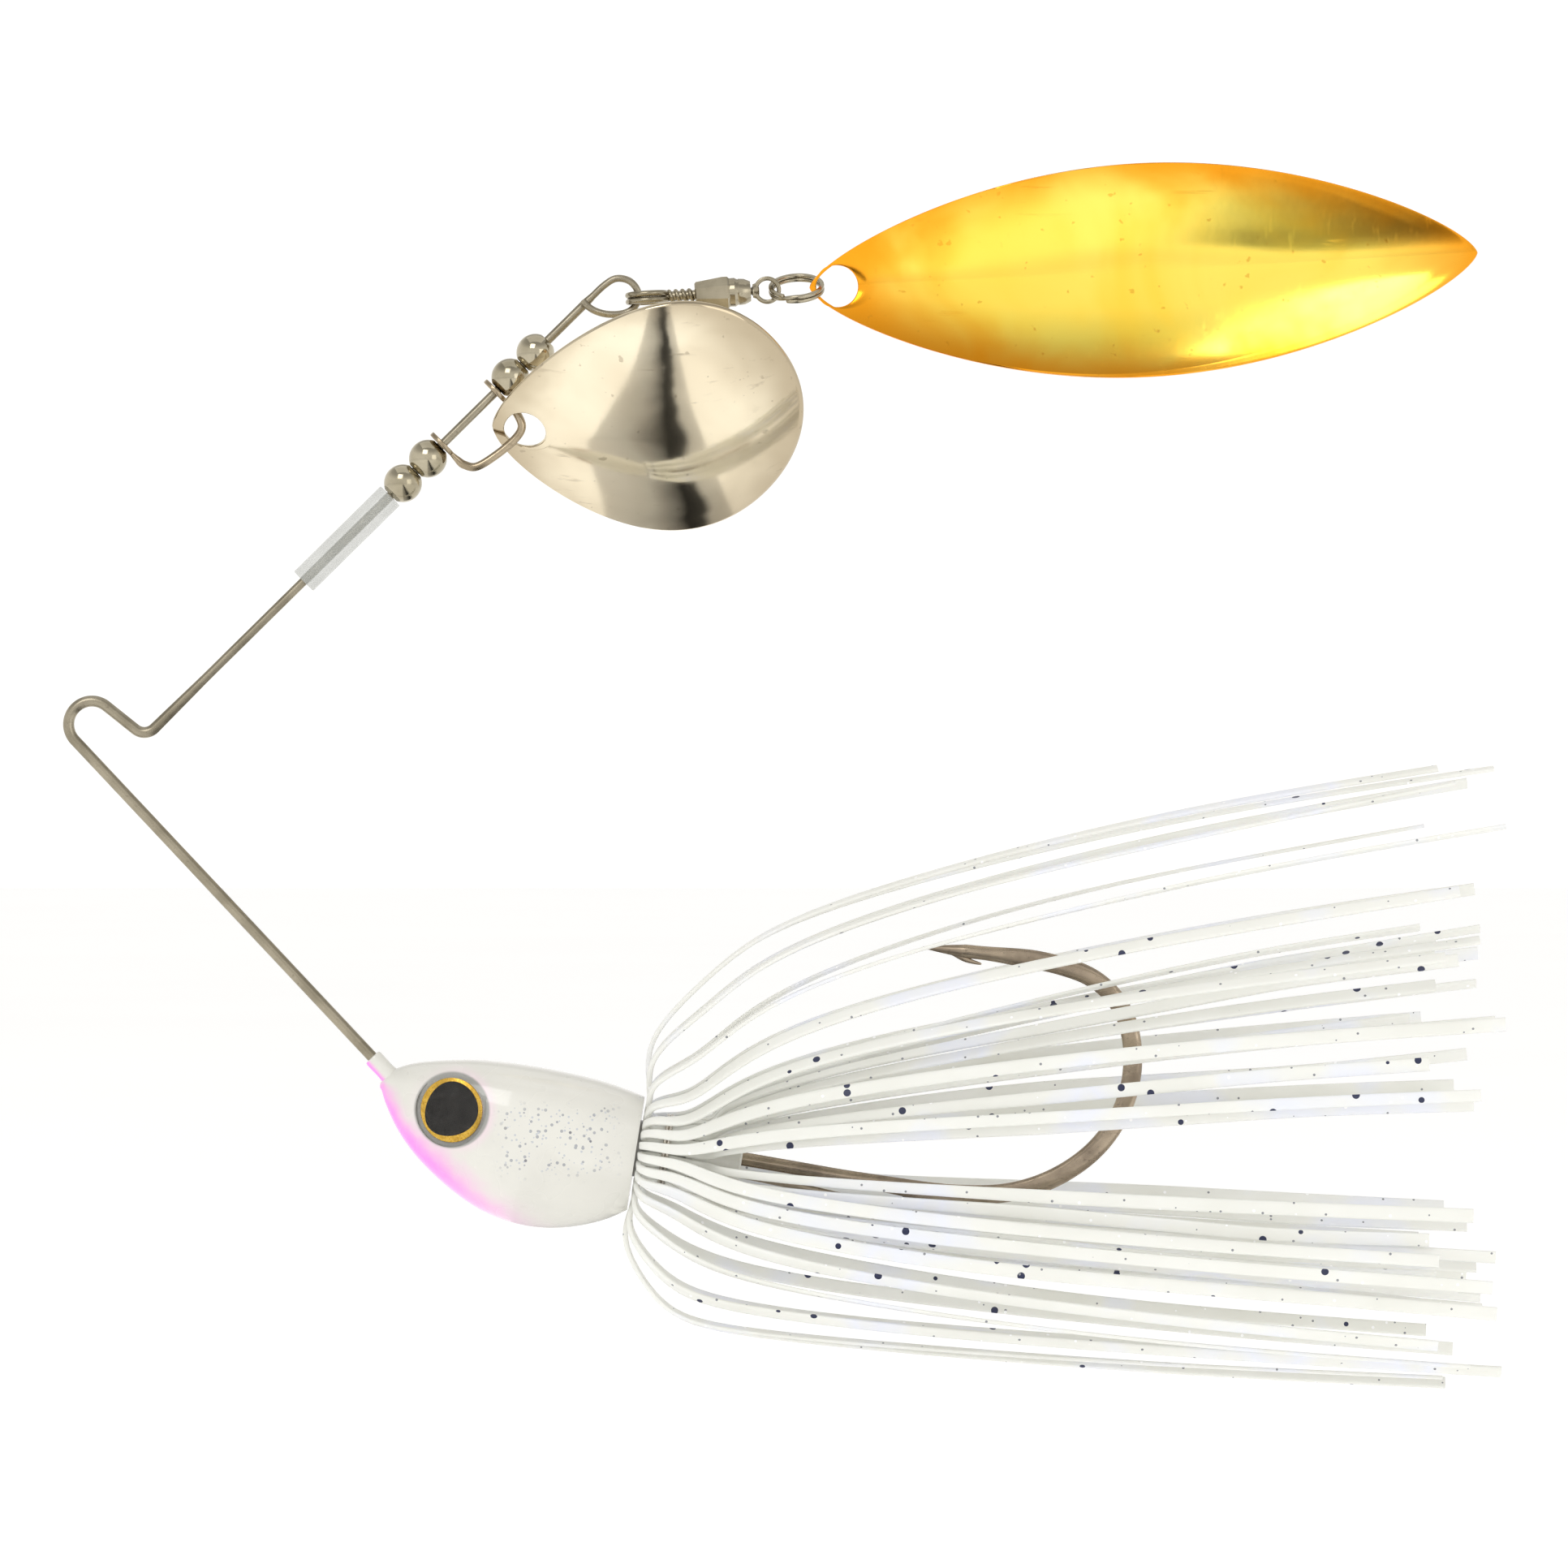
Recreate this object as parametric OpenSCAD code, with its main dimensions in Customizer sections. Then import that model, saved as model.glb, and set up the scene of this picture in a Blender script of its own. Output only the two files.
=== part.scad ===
// Spinnerbait: a bent wire form with a cast head and hook on one arm and two spinner blades on the other.
// Millimetres. X runs back towards the hook, Z is up, and the wire form lies in the XZ plane.
// The origin is the centre of the line-tie bend.

/* [Wire form] */
// Diameter of the wire from the head to the line tie
leg_d = 0.94; // [0.9:0.01:0.96]
// Diameter of the upper arm, which the beads and the clevis run on
arm_d = 0.74; // [0.66:0.01:0.76]
// Diameter of the wire round the closed end loop
loop_d = 0.6; // [0.5:0.01:0.62]
// Angle of the lower leg below the horizontal
leg_angle = 46.8; // [46.6:0.1:47]
// Angle of the upper arm above the horizontal
arm_angle = 44.6; // [44.5:0.05:44.7]
// Centre-line radius of the line-tie bend
tie_r = 1.95; // [1.9:0.05:2]
// Centre-line radius of the dip between the line tie and the arm
dip_r = 1.2; // [1.15:0.05:1.25]

/* [Beads and sleeve] */
// Diameter of a bead
bead_d = 3.2; // [3:0.05:3.3]
// Length of a bead between the flats round its bore
bead_l = 2.88; // [2.7:0.02:2.9]
// Length of the clear sleeve
sleeve_l = 10.2; // [8:0.1:10.2]
// Outer diameter of the clear sleeve
sleeve_d = 2.3; // [2:0.05:2.6]

/* [Blades] */
// Length of the round blade
round_l = 26.2; // [26:0.1:26.4]
// Width of the round blade
round_w = 23; // [22.4:0.1:23.2]
// Depth of the round blade's cup
round_cup = 3; // [2.8:0.1:3.2]
// Length of the leaf blade
leaf_l = 56; // [54:0.5:58]
// Width of the leaf blade
leaf_w = 17.9; // [16.5:0.1:18.5]
// Depth of the leaf blade's cup
leaf_cup = 2.4; // [1.5:0.1:2.6]
// Thickness of the blades
blade_t = 0.45; // [0.4:0.01:0.48]

/* [Head and hook] */
// Diameter of an eye's dome
eye_d = 6; // [5.5:0.1:6.1]
// Diameter of the hook's shank
hook_d = 1.2; // [1.1:0.02:1.22]
// Diameter of the trailer keeper wire
keeper_d = 0.64; // [0.56:0.02:0.66]

/* [Skirt] */
// Width of a skirt strand's tail
strand_w = 1.15; // [0.9:0.05:1.2]
// Thickness of a skirt strand's tail
strand_t = 0.34; // [0.28:0.02:0.36]

/* [Hidden] */

steel = "#9a927f";
nickel = "#c9c2b2";
bronze = "#7d756a";
gold = "#f2b22a";
pearl = "#eceae2";
clear = [0.85, 0.88, 0.86, 0.5];

round_fn = 48; // sides of a round
wire_fn = 16; // sides of a swept wire

// ---------- shared functions ----------

// A smooth line through points of any dimension, with a number of steps from each to the next.
function between(a, b, c, d, t) =
    0.5 * (2 * b + (c - a) * t + (2 * a - 5 * b + 4 * c - d) * t * t + (3 * b - a - 3 * c + d) * t * t * t);
function smooth(points, steps) = let (last = len(points) - 1) [
    for (i = [0 : last - 1], k = [0 : steps - 1])
        between(points[max(i - 1, 0)], points[i], points[i + 1], points[min(i + 2, last)], k / steps),
    points[last]];

// A walk in the XZ plane: each move is [length, turn in degrees, chords].
function walk(at, heading, moves, i = 0, k = 0) =
    i == len(moves) ? [at] :
    let (m = moves[i], way = heading + m[1] * (k + 0.5) / m[2], step = m[0] / m[2],
        next = at + step * [cos(way), 0, sin(way)], done = k + 1 == m[2])
    concat([at], walk(next, done ? heading + m[1] : heading, moves, done ? i + 1 : i, done ? 0 : k + 1));

function unit(v) = v / norm(v);
function tangents(p) = let (last = len(p) - 1)
    [for (i = [0 : last]) unit(p[min(i + 1, last)] - p[max(i - 1, 0)])];

// A solid through rings of equal length, closed by flat ends.
module skin(rings) {
    m = len(rings[0]);
    n = len(rings);
    sides = [for (i = [0 : n - 2], j = [0 : m - 1])
        let (a = i * m + j, b = i * m + (j + 1) % m) each [[a, b, b + m], [a, b + m, a + m]]];
    starts = [for (j = [1 : m - 2]) [0, j + 1, j]];
    ends = [for (j = [1 : m - 2]) [(n - 1) * m, (n - 1) * m + j, (n - 1) * m + j + 1]];
    polyhedron([for (r = rings) each r], concat(starts, sides, ends), convexity = 6);
}

// A wire swept along points. Each size is [half height off the line, half width along side].
module swept(points, sizes, side = [0, 1, 0], sides = wire_fn, square = false) {
    way = tangents(points);
    skin([for (i = [0 : len(points) - 1])
        let (across = unit(side - (side * way[i]) * way[i]), up = cross(way[i], across),
            size = sizes[min(i, len(sizes) - 1)])
        [for (j = [0 : sides - 1]) let (a = 360 * (j + 0.5) / sides, k = square ? sqrt(2) : 1)
            points[i] + k * size[0] * cos(a) * up + k * size[1] * sin(a) * across]]);
}

// A ring of wire about local Z.
module wire_ring(radius, d)
    rotate_extrude($fn = round_fn) translate([radius, 0]) circle(d = d, $fn = round_fn);

// ---------- wire form ----------

dip_center = [4.4, 0.52];
// Heading of the short straight between the two bends
throat_heading = atan2(dip_center.y, dip_center.x) - asin((tie_r + dip_r) / norm(dip_center));
leg_start = tie_r * [-sin(leg_angle), -cos(leg_angle)];
arm_start = dip_center + dip_r * [sin(arm_angle), -cos(arm_angle)];
taper_l = 6; // the arm's run from the thick wire down to the thin
arm_l = 51.6;
neck_l = 0.8; // the arm's run from the thin wire down to the loop's
leg_l = 45.2;
curl_r = 1.3; // the leg's curl in the casting
curl_turn = 75;
eye_at = 43.4; // along the leg, where it passes through the hook's eye
cast_gap = 0.02; // keeps a cast-in part from sharing volume with the casting

// Along the arm or the leg: local +Z runs along the wire, and local +X stands off the arm downwards.
module on_arm(along = 0)
    translate([arm_start.x, 0, arm_start.y]) rotate([0, 90 - arm_angle, 0]) translate([0, 0, along]) children();
module on_leg(along = 0)
    translate([leg_start.x, 0, leg_start.y]) rotate([0, 90 + leg_angle, 0]) translate([0, 0, along]) children();

function arc(center, radius, from, sweep, steps) = [for (i = [0 : steps]) let (a = from + sweep * i / steps)
    [center.x + radius * cos(a), 0, center.y + radius * sin(a)]];

// The leg ends in a curl past the hook's eye, which locks it in the casting.
leg_end = leg_start + leg_l * [cos(leg_angle), -sin(leg_angle)];
curl_center = leg_end + curl_r * [sin(leg_angle), cos(leg_angle)];
function curl(turn) = arc(curl_center, curl_r, turn - 90 - leg_angle, -turn, 6);

// The closed loop: over the top, down through the swivel, and back in front of the arm.
loop_start = arm_start + arm_l * [cos(arm_angle), sin(arm_angle)];
loop_points = smooth([
    [loop_start.x, 0, loop_start.y], [42.95, 0, 36.8],
    [43.9, 0, 37.35], [44.95, 0, 37.2], [45.65, 0, 36.5], [45.78, 0, 35.6], [45.3, 0, 34.8],
    [44.4, -0.1, 34.4], [43.2, -0.35, 34.35], [42.2, -0.68, 34.6], [41.5, -0.76, 35.05], [41.1, -0.76, 35.5]], 3);

// From the leg's curl round the line tie and the dip, up the tapered arm and round the loop.
arm_way = [cos(arm_angle), 0, sin(arm_angle)];
arm_foot = [arm_start.x, 0, arm_start.y];
stem_points = concat(curl(curl_turn), arc([0, 0], tie_r, 270 - leg_angle, throat_heading + leg_angle - 180, 15),
    arc(dip_center, dip_r, throat_heading - 90, arm_angle - throat_heading, 7));

module wire_form() color(steel) swept(
    concat(stem_points, [arm_foot + taper_l * arm_way, arm_foot + (arm_l - neck_l) * arm_way],
        [for (i = [1 : len(loop_points) - 1]) loop_points[i]]),
    concat([for (p = stem_points) leg_d / 2 * [1, 1]], [arm_d / 2 * [1, 1], arm_d / 2 * [1, 1], loop_d / 2 * [1, 1]]));

// ---------- sleeve, beads and clevis ----------

stack_gap = 0.06;
sleeve_at = 17.55; // along the arm, its lower end
lower_outer_at = sleeve_at + sleeve_l + stack_gap + bead_l / 2;
lower_inner_at = lower_outer_at + bead_l + stack_gap;
ear_t = 0.4;
lower_ear_at = lower_inner_at + bead_l / 2 + stack_gap + ear_t / 2;
ear_span = 6.3;
upper_ear_at = lower_ear_at + ear_span;
upper_inner_at = upper_ear_at + ear_t / 2 + stack_gap + bead_l / 2;
upper_outer_at = upper_inner_at + bead_l + stack_gap;
run_d = arm_d + 0.16; // bore of what runs on the arm
bow_d = 0.72;

module wire_sleeve() color(clear) on_arm(sleeve_at) difference() {
    cylinder(d = sleeve_d, h = sleeve_l, $fn = round_fn);
    translate([0, 0, -1]) cylinder(d = arm_d + 0.08, h = sleeve_l + 2, $fn = round_fn);
}

module bead(along) color(nickel) on_arm(along) difference() {
    intersection() {
        sphere(d = bead_d, $fn = round_fn);
        translate([0, 0, -bead_l / 2]) cylinder(d = bead_d + 1, h = bead_l, $fn = round_fn);
    }
    translate([0, 0, -bead_d]) cylinder(d = run_d, h = 2 * bead_d, $fn = round_fn);
}

module clevis_ear(along) on_arm(along - ear_t / 2) difference() {
    union() {
        cylinder(r = 1.3, h = ear_t, $fn = round_fn);
        translate([0, -0.62, 0]) cube([2.1, 1.24, ear_t]);
    }
    translate([0, 0, -1]) cylinder(d = run_d + 0.1, h = ear_t + 2, $fn = round_fn);
}

// The bow stands off the arm; its upper corner carries the round blade.
bow_points = smooth([[1.75, 0, 0], [2.5, 0, 0.1], [3.35, 0, 0.75], [3.8, 0, 2.6], [3.95, 0, 4.6],
    [3.65, 0, 5.75], [2.7, 0, 6.22], [1.75, 0, 6.3]], 4);

module clevis() color(nickel) {
    clevis_ear(lower_ear_at);
    clevis_ear(upper_ear_at);
    on_arm(lower_ear_at) swept(bow_points, [[bow_d / 2, bow_d / 2]]);
}

// ---------- blades ----------

// Half width along a blade from its small end, 0, to its far end, 1. The peak moves the widest place
// towards the far end, and the fullness rounds the outline out.
function half_width(t, width, peak, fullness) = width / 2 * pow(sin(180 * pow(t, peak)), fullness);

// A cupped blade about its hole's centre: its length along X, its width along Z, and its cup towards -Y.
module cupped_blade(length, width, cup, peak, fullness, widest, lip, hole_r, around, rings) {
    mid = widest * length - lip; // the deepest place of the cup
    hole_f = mid / (widest * length);
    hole_h = cup * (1 - hole_f * hole_f);
    slope = atan(2 * cup * hole_f / (widest * length));
    rim = [for (j = [0 : around - 1]) let (a = 360 * j / around, t = (1 - cos(a)) / 2)
        [t * length - lip, sign(sin(a)) * half_width(t, width, peak, fullness)]];
    face = [for (k = [1 : rings], j = [0 : around - 1]) let (f = k / rings)
        [mid + f * (rim[j].x - mid), hole_h - cup * (1 - f * f), f * rim[j].y]];
    n = around * rings; // points on each face; its middle point follows them
    outer = concat(face, [[mid, hole_h - cup, 0]]);
    shift = [0, blade_t, 0];
    strip = [for (k = [0 : rings - 2], j = [0 : around - 1])
        let (a = k * around + j, b = k * around + (j + 1) % around)
            each [[a, b + around, b], [a, a + around, b + around]]];
    fan = [for (j = [0 : around - 1]) [n, j, (j + 1) % around]];
    edge = [for (j = [0 : around - 1])
        let (a = n - around + j, b = n - around + (j + 1) % around, c = n + 1)
            each [[a, b + c, b], [a, a + c, b + c]]];
    front = concat(strip, fan);
    back = [for (s = front) [s[0] + n + 1, s[2] + n + 1, s[1] + n + 1]];
    difference() {
        polyhedron(concat(outer, [for (p = outer) p + shift]), concat(front, back, edge), convexity = 4);
        translate([0, blade_t / 2, 0]) rotate([0, 0, -slope]) rotate([90, 0, 0])
            cylinder(r = hole_r, h = 6, center = true, $fn = round_fn);
    }
}

round_hole = [36.3, -0.4, 24.6];
round_lean = 36; // its upper edge leans towards -Y
round_yaw = 5; // its far end turns towards +Y

module round_blade() color(nickel) translate(round_hole) rotate([round_lean, -3, round_yaw])
    translate([0, -blade_t / 2, 0])
        cupped_blade(round_l, round_w, round_cup, 1.36, 0.49, 0.56, 2.65, 1.7, 52, 7);

leaf_hole = [62.45, 0, 36.7];

module leaf_blade() color(gold) translate(leaf_hole) rotate([0, -3, 0]) mirror([0, 1, 0])
    translate([0, -blade_t / 2, 0])
        cupped_blade(leaf_l, leaf_w, leaf_cup, 1, 0.68, 0.5, 2.3, 1.75, 60, 8);

// ---------- swivel and split ring ----------

swivel_hinge = [44.95, 35.65]; // where its loop hangs on the wire
swivel_angle = 3.6;
loop_r = 1.6; // the loop is two turns of thin wire
loop_wire = 0.52;
barrel_from = 5.6; // the rest of the swivel's lengths are from the hinge along its axis
barrel_to = 10.3;
cavity_from = 6.5;
cavity_to = 9.2;
cavity_r = 0.92;
ball_r = 0.26;
stem_r = 0.3;
ring_at = 11.97; // the ring's hinge
ring_r = 2.15;
ring_wire = 0.38;
ring_lean = 28;

// Along the swivel: local +Z runs to the ring, and local +X points down.
module on_swivel(along = 0)
    translate([swivel_hinge.x, 0, swivel_hinge.y]) rotate([0, 90 - swivel_angle, 0])
        translate([0, 0, along]) children();

module swivel_barrel() color(nickel) on_swivel() difference() {
    rotate_extrude($fn = round_fn) polygon([[0, barrel_from], [1, barrel_from], [1.15, 5.75], [1.3, 7.2],
        [1.43, 8.3], [1.43, 8.8], [1.25, 9.5], [0.95, 10], [0.85, barrel_to], [0, barrel_to]]);
    translate([0, 0, cavity_from]) cylinder(r = cavity_r, h = cavity_to - cavity_from, $fn = round_fn);
    translate([0, 0, 5]) cylinder(r = 0.46, h = 3, $fn = round_fn);
    translate([0, 0, 8]) cylinder(r = stem_r + 0.05, h = 3, $fn = round_fn);
}

module swivel_loop() color(nickel) on_swivel() {
    for (side = [-1, 1])
        translate([side * (loop_wire / 2 + 0.01), 0, loop_r]) rotate([0, 90, 0]) wire_ring(loop_r, loop_wire);
    translate([0, 0, 2.9]) cylinder(r1 = 0.62, r2 = 0.5, h = barrel_from - 2.92, $fn = round_fn);
    translate([0, 0, barrel_from - 0.1]) cylinder(r = 0.44, h = cavity_from - barrel_from + 0.2, $fn = round_fn);
    translate([0, 0, cavity_from + 0.02]) cylinder(r = 0.75, h = 0.35, $fn = round_fn);
}

module swivel_balls() color(steel) on_swivel(cavity_to - ball_r - 0.02)
    for (i = [0 : 5]) rotate([0, 0, 60 * i]) translate([stem_r + ball_r + 0.03, 0, 0])
        sphere(r = ball_r, $fn = 24);

module swivel_stem() color(nickel) on_swivel() {
    translate([0, 0, cavity_to - 2 * ball_r - 0.44]) cylinder(r = 0.82, h = 0.4, $fn = round_fn);
    translate([0, 0, cavity_to - 2 * ball_r - 0.2]) cylinder(r = stem_r, h = 2, $fn = round_fn);
    difference() {
        union() {
            translate([-0.62, -0.27, barrel_to + 0.15]) cube([1.24, 0.54, 1.2]);
            translate([0, 0, ring_at - 0.3]) rotate([90, 0, 0])
                cylinder(r = 1.16, h = 0.5, center = true, $fn = round_fn);
        }
        translate([0, 0, ring_at - 0.3]) rotate([90, 0, 0])
            cylinder(r = 0.8, h = 2, center = true, $fn = round_fn);
    }
}

module split_ring() color(nickel) on_swivel(ring_at + ring_r) rotate([0, 90, 0]) rotate([-ring_lean, 0, 0])
    for (side = [-1, 1]) translate([0, 0, side * 0.18]) wire_ring(ring_r, ring_wire);

// ---------- head ----------

collar_center = [48.08, -35.9]; // where the skirt is tied
collar_tilt = 9; // the collar runs down to the rear
collar_r = 2.4;

// Along the collar: local +Z runs to the rear, and local +X points down.
module on_collar(along = 0)
    translate([collar_center.x, 0, collar_center.y]) rotate([0, 90 + collar_tilt, 0])
        translate([0, 0, along]) children();

// The head from nose to rear: [x, top, bottom, half width]
head_stations = smooth([[24.3, -30, -30.6, 0.25], [24.7, -29.3, -32, 1], [25.7, -28.75, -34.1, 1.8],
    [27.2, -28.35, -36.2, 2.65], [29.4, -28.15, -38.4, 3.55], [32, -28.1, -40.35, 4.25],
    [34.6, -28.3, -41.55, 4.65], [37.4, -28.7, -42.15, 4.75], [40.2, -29.25, -42.1, 4.6],
    [43, -29.95, -41.5, 4.2], [45.4, -30.8, -40.4, 3.75], [48, -31.9, -38.9, 3.3]], 2);
head_square = 0.84; // below 1 squares the head's sections a little

function bulge(v) = sign(v) * pow(abs(v), head_square);

module head_body() skin([for (s = head_stations)
    [for (j = [0 : 27]) let (a = 360 * j / 28)
        [s[0], s[3] * bulge(cos(a)), (s[1] + s[2]) / 2 - (s[1] - s[2]) / 2 * bulge(sin(a))]]]);

eye_center = [30.3, -3.2, -32.2];
eye_yaw = 16;
eye_rim = 0.1; // the socket's gap round the dome

// In a near eye's socket: local +Z points out of the head.
module in_eye() translate(eye_center) rotate([0, 0, -eye_yaw]) rotate([90, 0, 0]) children();

module head_casting() color(pearl) difference() {
    union() {
        difference() {
            head_body();
            on_collar(-2.45) translate([-10, -10, 0]) cube(20);
        }
        on_leg(36.4) cylinder(r = 0.78, h = 3.6, $fn = round_fn);
        on_collar() rotate_extrude($fn = round_fn) polygon([[0, -4], [collar_r, -4], [collar_r, 1.5],
            [3.05, 1.75], [3.05, 2.3], [2.3, 2.7], [1.75, 4.4], [1.6, 6.4], [0, 6.4]]);
    }
    swept(concat(curl(curl_turn + 2), [[leg_start.x, 0, leg_start.y]]), [(leg_d / 2 + cast_gap) * [1, 1]]);
    hook_shank(2 * cast_gap);
    keeper_root(2 * cast_gap);
    in_eye() cylinder(d = eye_d + 2 * eye_rim, h = 6, $fn = round_fn);
    mirror([0, 1, 0]) in_eye() cylinder(d = eye_d + 2 * eye_rim, h = 6, $fn = round_fn);
}

disc_t = 0.2;

module eye_disc() color("#d9a521") in_eye() translate([0, 0, 0.02])
    cylinder(d = eye_d - 0.6, h = disc_t, $fn = round_fn);

// The dome is a lens: a low cylinder under a cap of a sphere.
module eye_dome() color(clear) in_eye() translate([0, 0, disc_t + 0.04]) intersection() {
    cylinder(d = eye_d, h = 3, $fn = round_fn);
    translate([0, 0, 1.4 - eye_d * 0.72]) sphere(r = eye_d * 0.72, $fn = round_fn);
}

// ---------- hook and keeper ----------

shank_start = leg_start + eye_at * [cos(leg_angle), -sin(leg_angle)] + 1.35 * [sin(leg_angle), cos(leg_angle)];
shank_heading = -9.8;
shank_l = 26.5;
shank_end = shank_start + shank_l * [cos(shank_heading), sin(shank_heading)];

// What the casting holds: the hook's eye, round the leg, and the shank.
module hook_shank(grow = 0) {
    on_leg(eye_at) wire_ring(1.35, 0.96 + grow);
    translate([shank_start.x, 0, shank_start.y]) rotate([0, 90 - shank_heading, 0])
        cylinder(d = hook_d + grow, h = shank_l, $fn = round_fn);
}

hook_points = walk([shank_end.x - 0.4 * cos(shank_heading), 0, shank_end.y - 0.4 * sin(shank_heading)],
    shank_heading, [[0.4, 0, 1], [13.1, -0.6, 3], [6.6, 11.4, 4], [9.1, 38, 7], [12, 64, 9], [6.8, 57, 7],
    [4.4, 12, 3], [5.2, 2.5, 3], [3.6, 0, 4]]);

// Half height in the hook's plane and half width across it: round at the shank, forged flat round the
// bend, and a fine cone at the point.
function hook_size(i) = let (n = len(hook_points) - 1, left = n - i)
    i < 2 ? 0.46 * hook_d * [1, 1] :
    left < 4 ? (0.06 + 0.12 * left) * [1.1, 1] :
    let (forge = min(1, max(0, (i - 3) / 6)) * min(1, (left - 4) / 6))
        [0.58 + 0.22 * forge, 0.58 - 0.08 * forge];

barb_at = hook_points[len(hook_points) - 5];

module hook() color(bronze) {
    hook_shank();
    swept(hook_points, [for (i = [0 : len(hook_points) - 1]) hook_size(i)], sides = 12);
    // The barb is cut up from the inner side, so it points back down the hook.
    swept([barb_at + [-1.6, 0, 0.1], barb_at + [-0.4, 0, -0.5], barb_at + [1.4, 0, -1.05]],
        [[0.2, 0.26], [0.34, 0.24], [0.06, 0.08]], sides = 8);
}

keeper_start = [51.2, 0, -37.12];
keeper_heading = -11;
keeper_root_l = 3.3;
keeper_points = walk(keeper_start, keeper_heading, [[keeper_root_l, 0, 1], [8.2, -2.5, 3], [1.9, -5, 2],
    [1.1, -36, 4], [0.9, 0, 2]]);

module keeper_root(grow = 0) translate(keeper_start) rotate([0, 90 - keeper_heading, 0])
    cylinder(d = keeper_d + grow, h = keeper_root_l + 0.4, $fn = round_fn);

module trailer_keeper() color(steel)
    swept(keeper_points, [[keeper_d / 2, keeper_d / 2]]);

// ---------- skirt ----------

strand_count = 28;
tie_in = 2.96; // the tie wire's inner radius
tie_d = 0.32;

module skirt_tie_wire() color(steel) {
    for (turn = [-1 : 0]) on_collar(turn * (tie_d + 0.02)) wire_ring(tie_in + tie_d / 2, tie_d);
    on_collar(tie_d + 0.02) rotate([0, 0, 60]) rotate_extrude(angle = 50, $fn = round_fn)
        translate([tie_in + tie_d / 2, 0]) circle(d = tie_d, $fn = round_fn);
}

// A place round the collar: radius, azimuth from +Y towards +Z, and distance along it.
function by_collar(r, az, along) =
    [collar_center.x + along * cos(collar_tilt) + r * sin(az) * sin(collar_tilt), r * cos(az),
        collar_center.y - along * sin(collar_tilt) + r * sin(az) * cos(collar_tilt)];

// A tail eases outwards from where it leaves the collar to its tip.
function tail(from, tip, ease, side_ease, n) = [for (i = [0 : n]) let (t = pow(i / n, 1.7))
    [from.x + (tip.x - from.x) * t, from.y + (tip.y - from.y) * pow(t, side_ease),
        from.z + (tip.z - from.z) * pow(t, ease)]];
function reversed(list) = [for (i = [len(list) - 1 : -1 : 0]) list[i]];
function wave(i, rate) = sin(rate * i);

// Each strand lies under the tie wire. Its inner tail runs straight back, and its outer one loops
// forward and back over the tie wire. Both keep off the plane of the hook.
outer_n = 9;
inner_n = 8;
function strand_tips(i) = let (az = 360 * (i + 0.5) / strand_count, up = sin(az), out = cos(az))
    [[115 + 3 * wave(i, 250), out * 11.5 + 0.3 * wave(i, 61),
        (up > 0 ? -32.6 + 29.4 * pow(up, 1.25) : -42.6 + 12.4 * up) + 0.4 * wave(i, 97)],
     [114 + 3 * wave(i, 140), sign(out) * (2.7 + 6.8 * abs(out)) + 0.1 * wave(i, 75),
        (up > 0 ? -33.5 + 16.5 * up : -39.8 + 8.5 * up) + 0.15 * wave(i, 115)]];

// The fold from tail to tail: radius and place along the collar, and what a full billow adds to them.
// The strands at the top and the bottom billow the most.
fold = [[3.5, 2.1, 0, 0], [2.95, 1, 0, 0], [2.69, 0.3, 0, 0], [2.69, -0.9, 0, 0], [2.85, -1.6, 0.1, 0],
    [3.4, -2, 0.1, 0], [4.1, -2, 0.5, 0], [4.6, -1.85, 1.4, -0.4], [4.9, -1.4, 2.9, -1.8],
    [5, -0.8, 4.8, -2.1], [5.05, 0, 7, -1.4], [5.1, 0.9, 9.2, -0.8]];
function billow(az) = pow(abs(sin(az)), 5) * (sin(az) > 0 ? 1 : 0.74);
function strand_points(i) = let (az = 360 * (i + 0.5) / strand_count, tips = strand_tips(i), b = billow(az))
    concat(reversed(tail(by_collar(3.62, az, 3.4), tips[1], 0.62, 0.34, inner_n)),
        [for (p = fold) by_collar(p[0] + b * p[2], az, p[1] + b * p[3])],
        tail(by_collar(5.3 + 11.6 * b, az, 2.4), tips[0], 0.5 + 0.12 * b, 0.42, outer_n));

// Half thickness and half width: squeezed square under the tie wire, flat and wide in the tails.
function strand_size(k) = let (under = inner_n + 4.5, free = min(1, max(0, abs(k - under) - 1.5) / 8))
    [0.24 + (strand_t / 2 - 0.24) * free, 0.24 + (strand_w / 2 - 0.24) * pow(free, k < under ? 3.6 : 3.1)];

module strands(first) color(pearl) for (n = [0 : strand_count / 4 - 1]) {
    i = (first + n) % strand_count;
    az = 360 * (i + 0.5) / strand_count;
    points = strand_points(i);
    swept(points, [for (k = [0 : len(points) - 1]) strand_size(k)], [0, -sin(az), cos(az)], 4, true);
}

wire_form();
wire_sleeve();
bead(lower_outer_at);  // lower_outer_bead
bead(lower_inner_at);  // lower_inner_bead
bead(upper_inner_at);  // upper_inner_bead
bead(upper_outer_at);  // upper_outer_bead
clevis();
round_blade();
swivel_barrel();
swivel_loop();
swivel_balls();
swivel_stem();
split_ring();
leaf_blade();
head_casting();
eye_disc();  // near_eye_disc
mirror([0, 1, 0]) eye_disc();  // far_eye_disc
eye_dome();  // near_eye_dome
mirror([0, 1, 0]) eye_dome();  // far_eye_dome
hook();
trailer_keeper();
skirt_tie_wire();
strands(4);  // upper_skirt_strands
strands(11);  // near_skirt_strands
strands(18);  // lower_skirt_strands
strands(25);  // far_skirt_strands
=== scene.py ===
import math
import random

import bmesh
import bpy
from mathutils import Matrix, Vector


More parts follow.
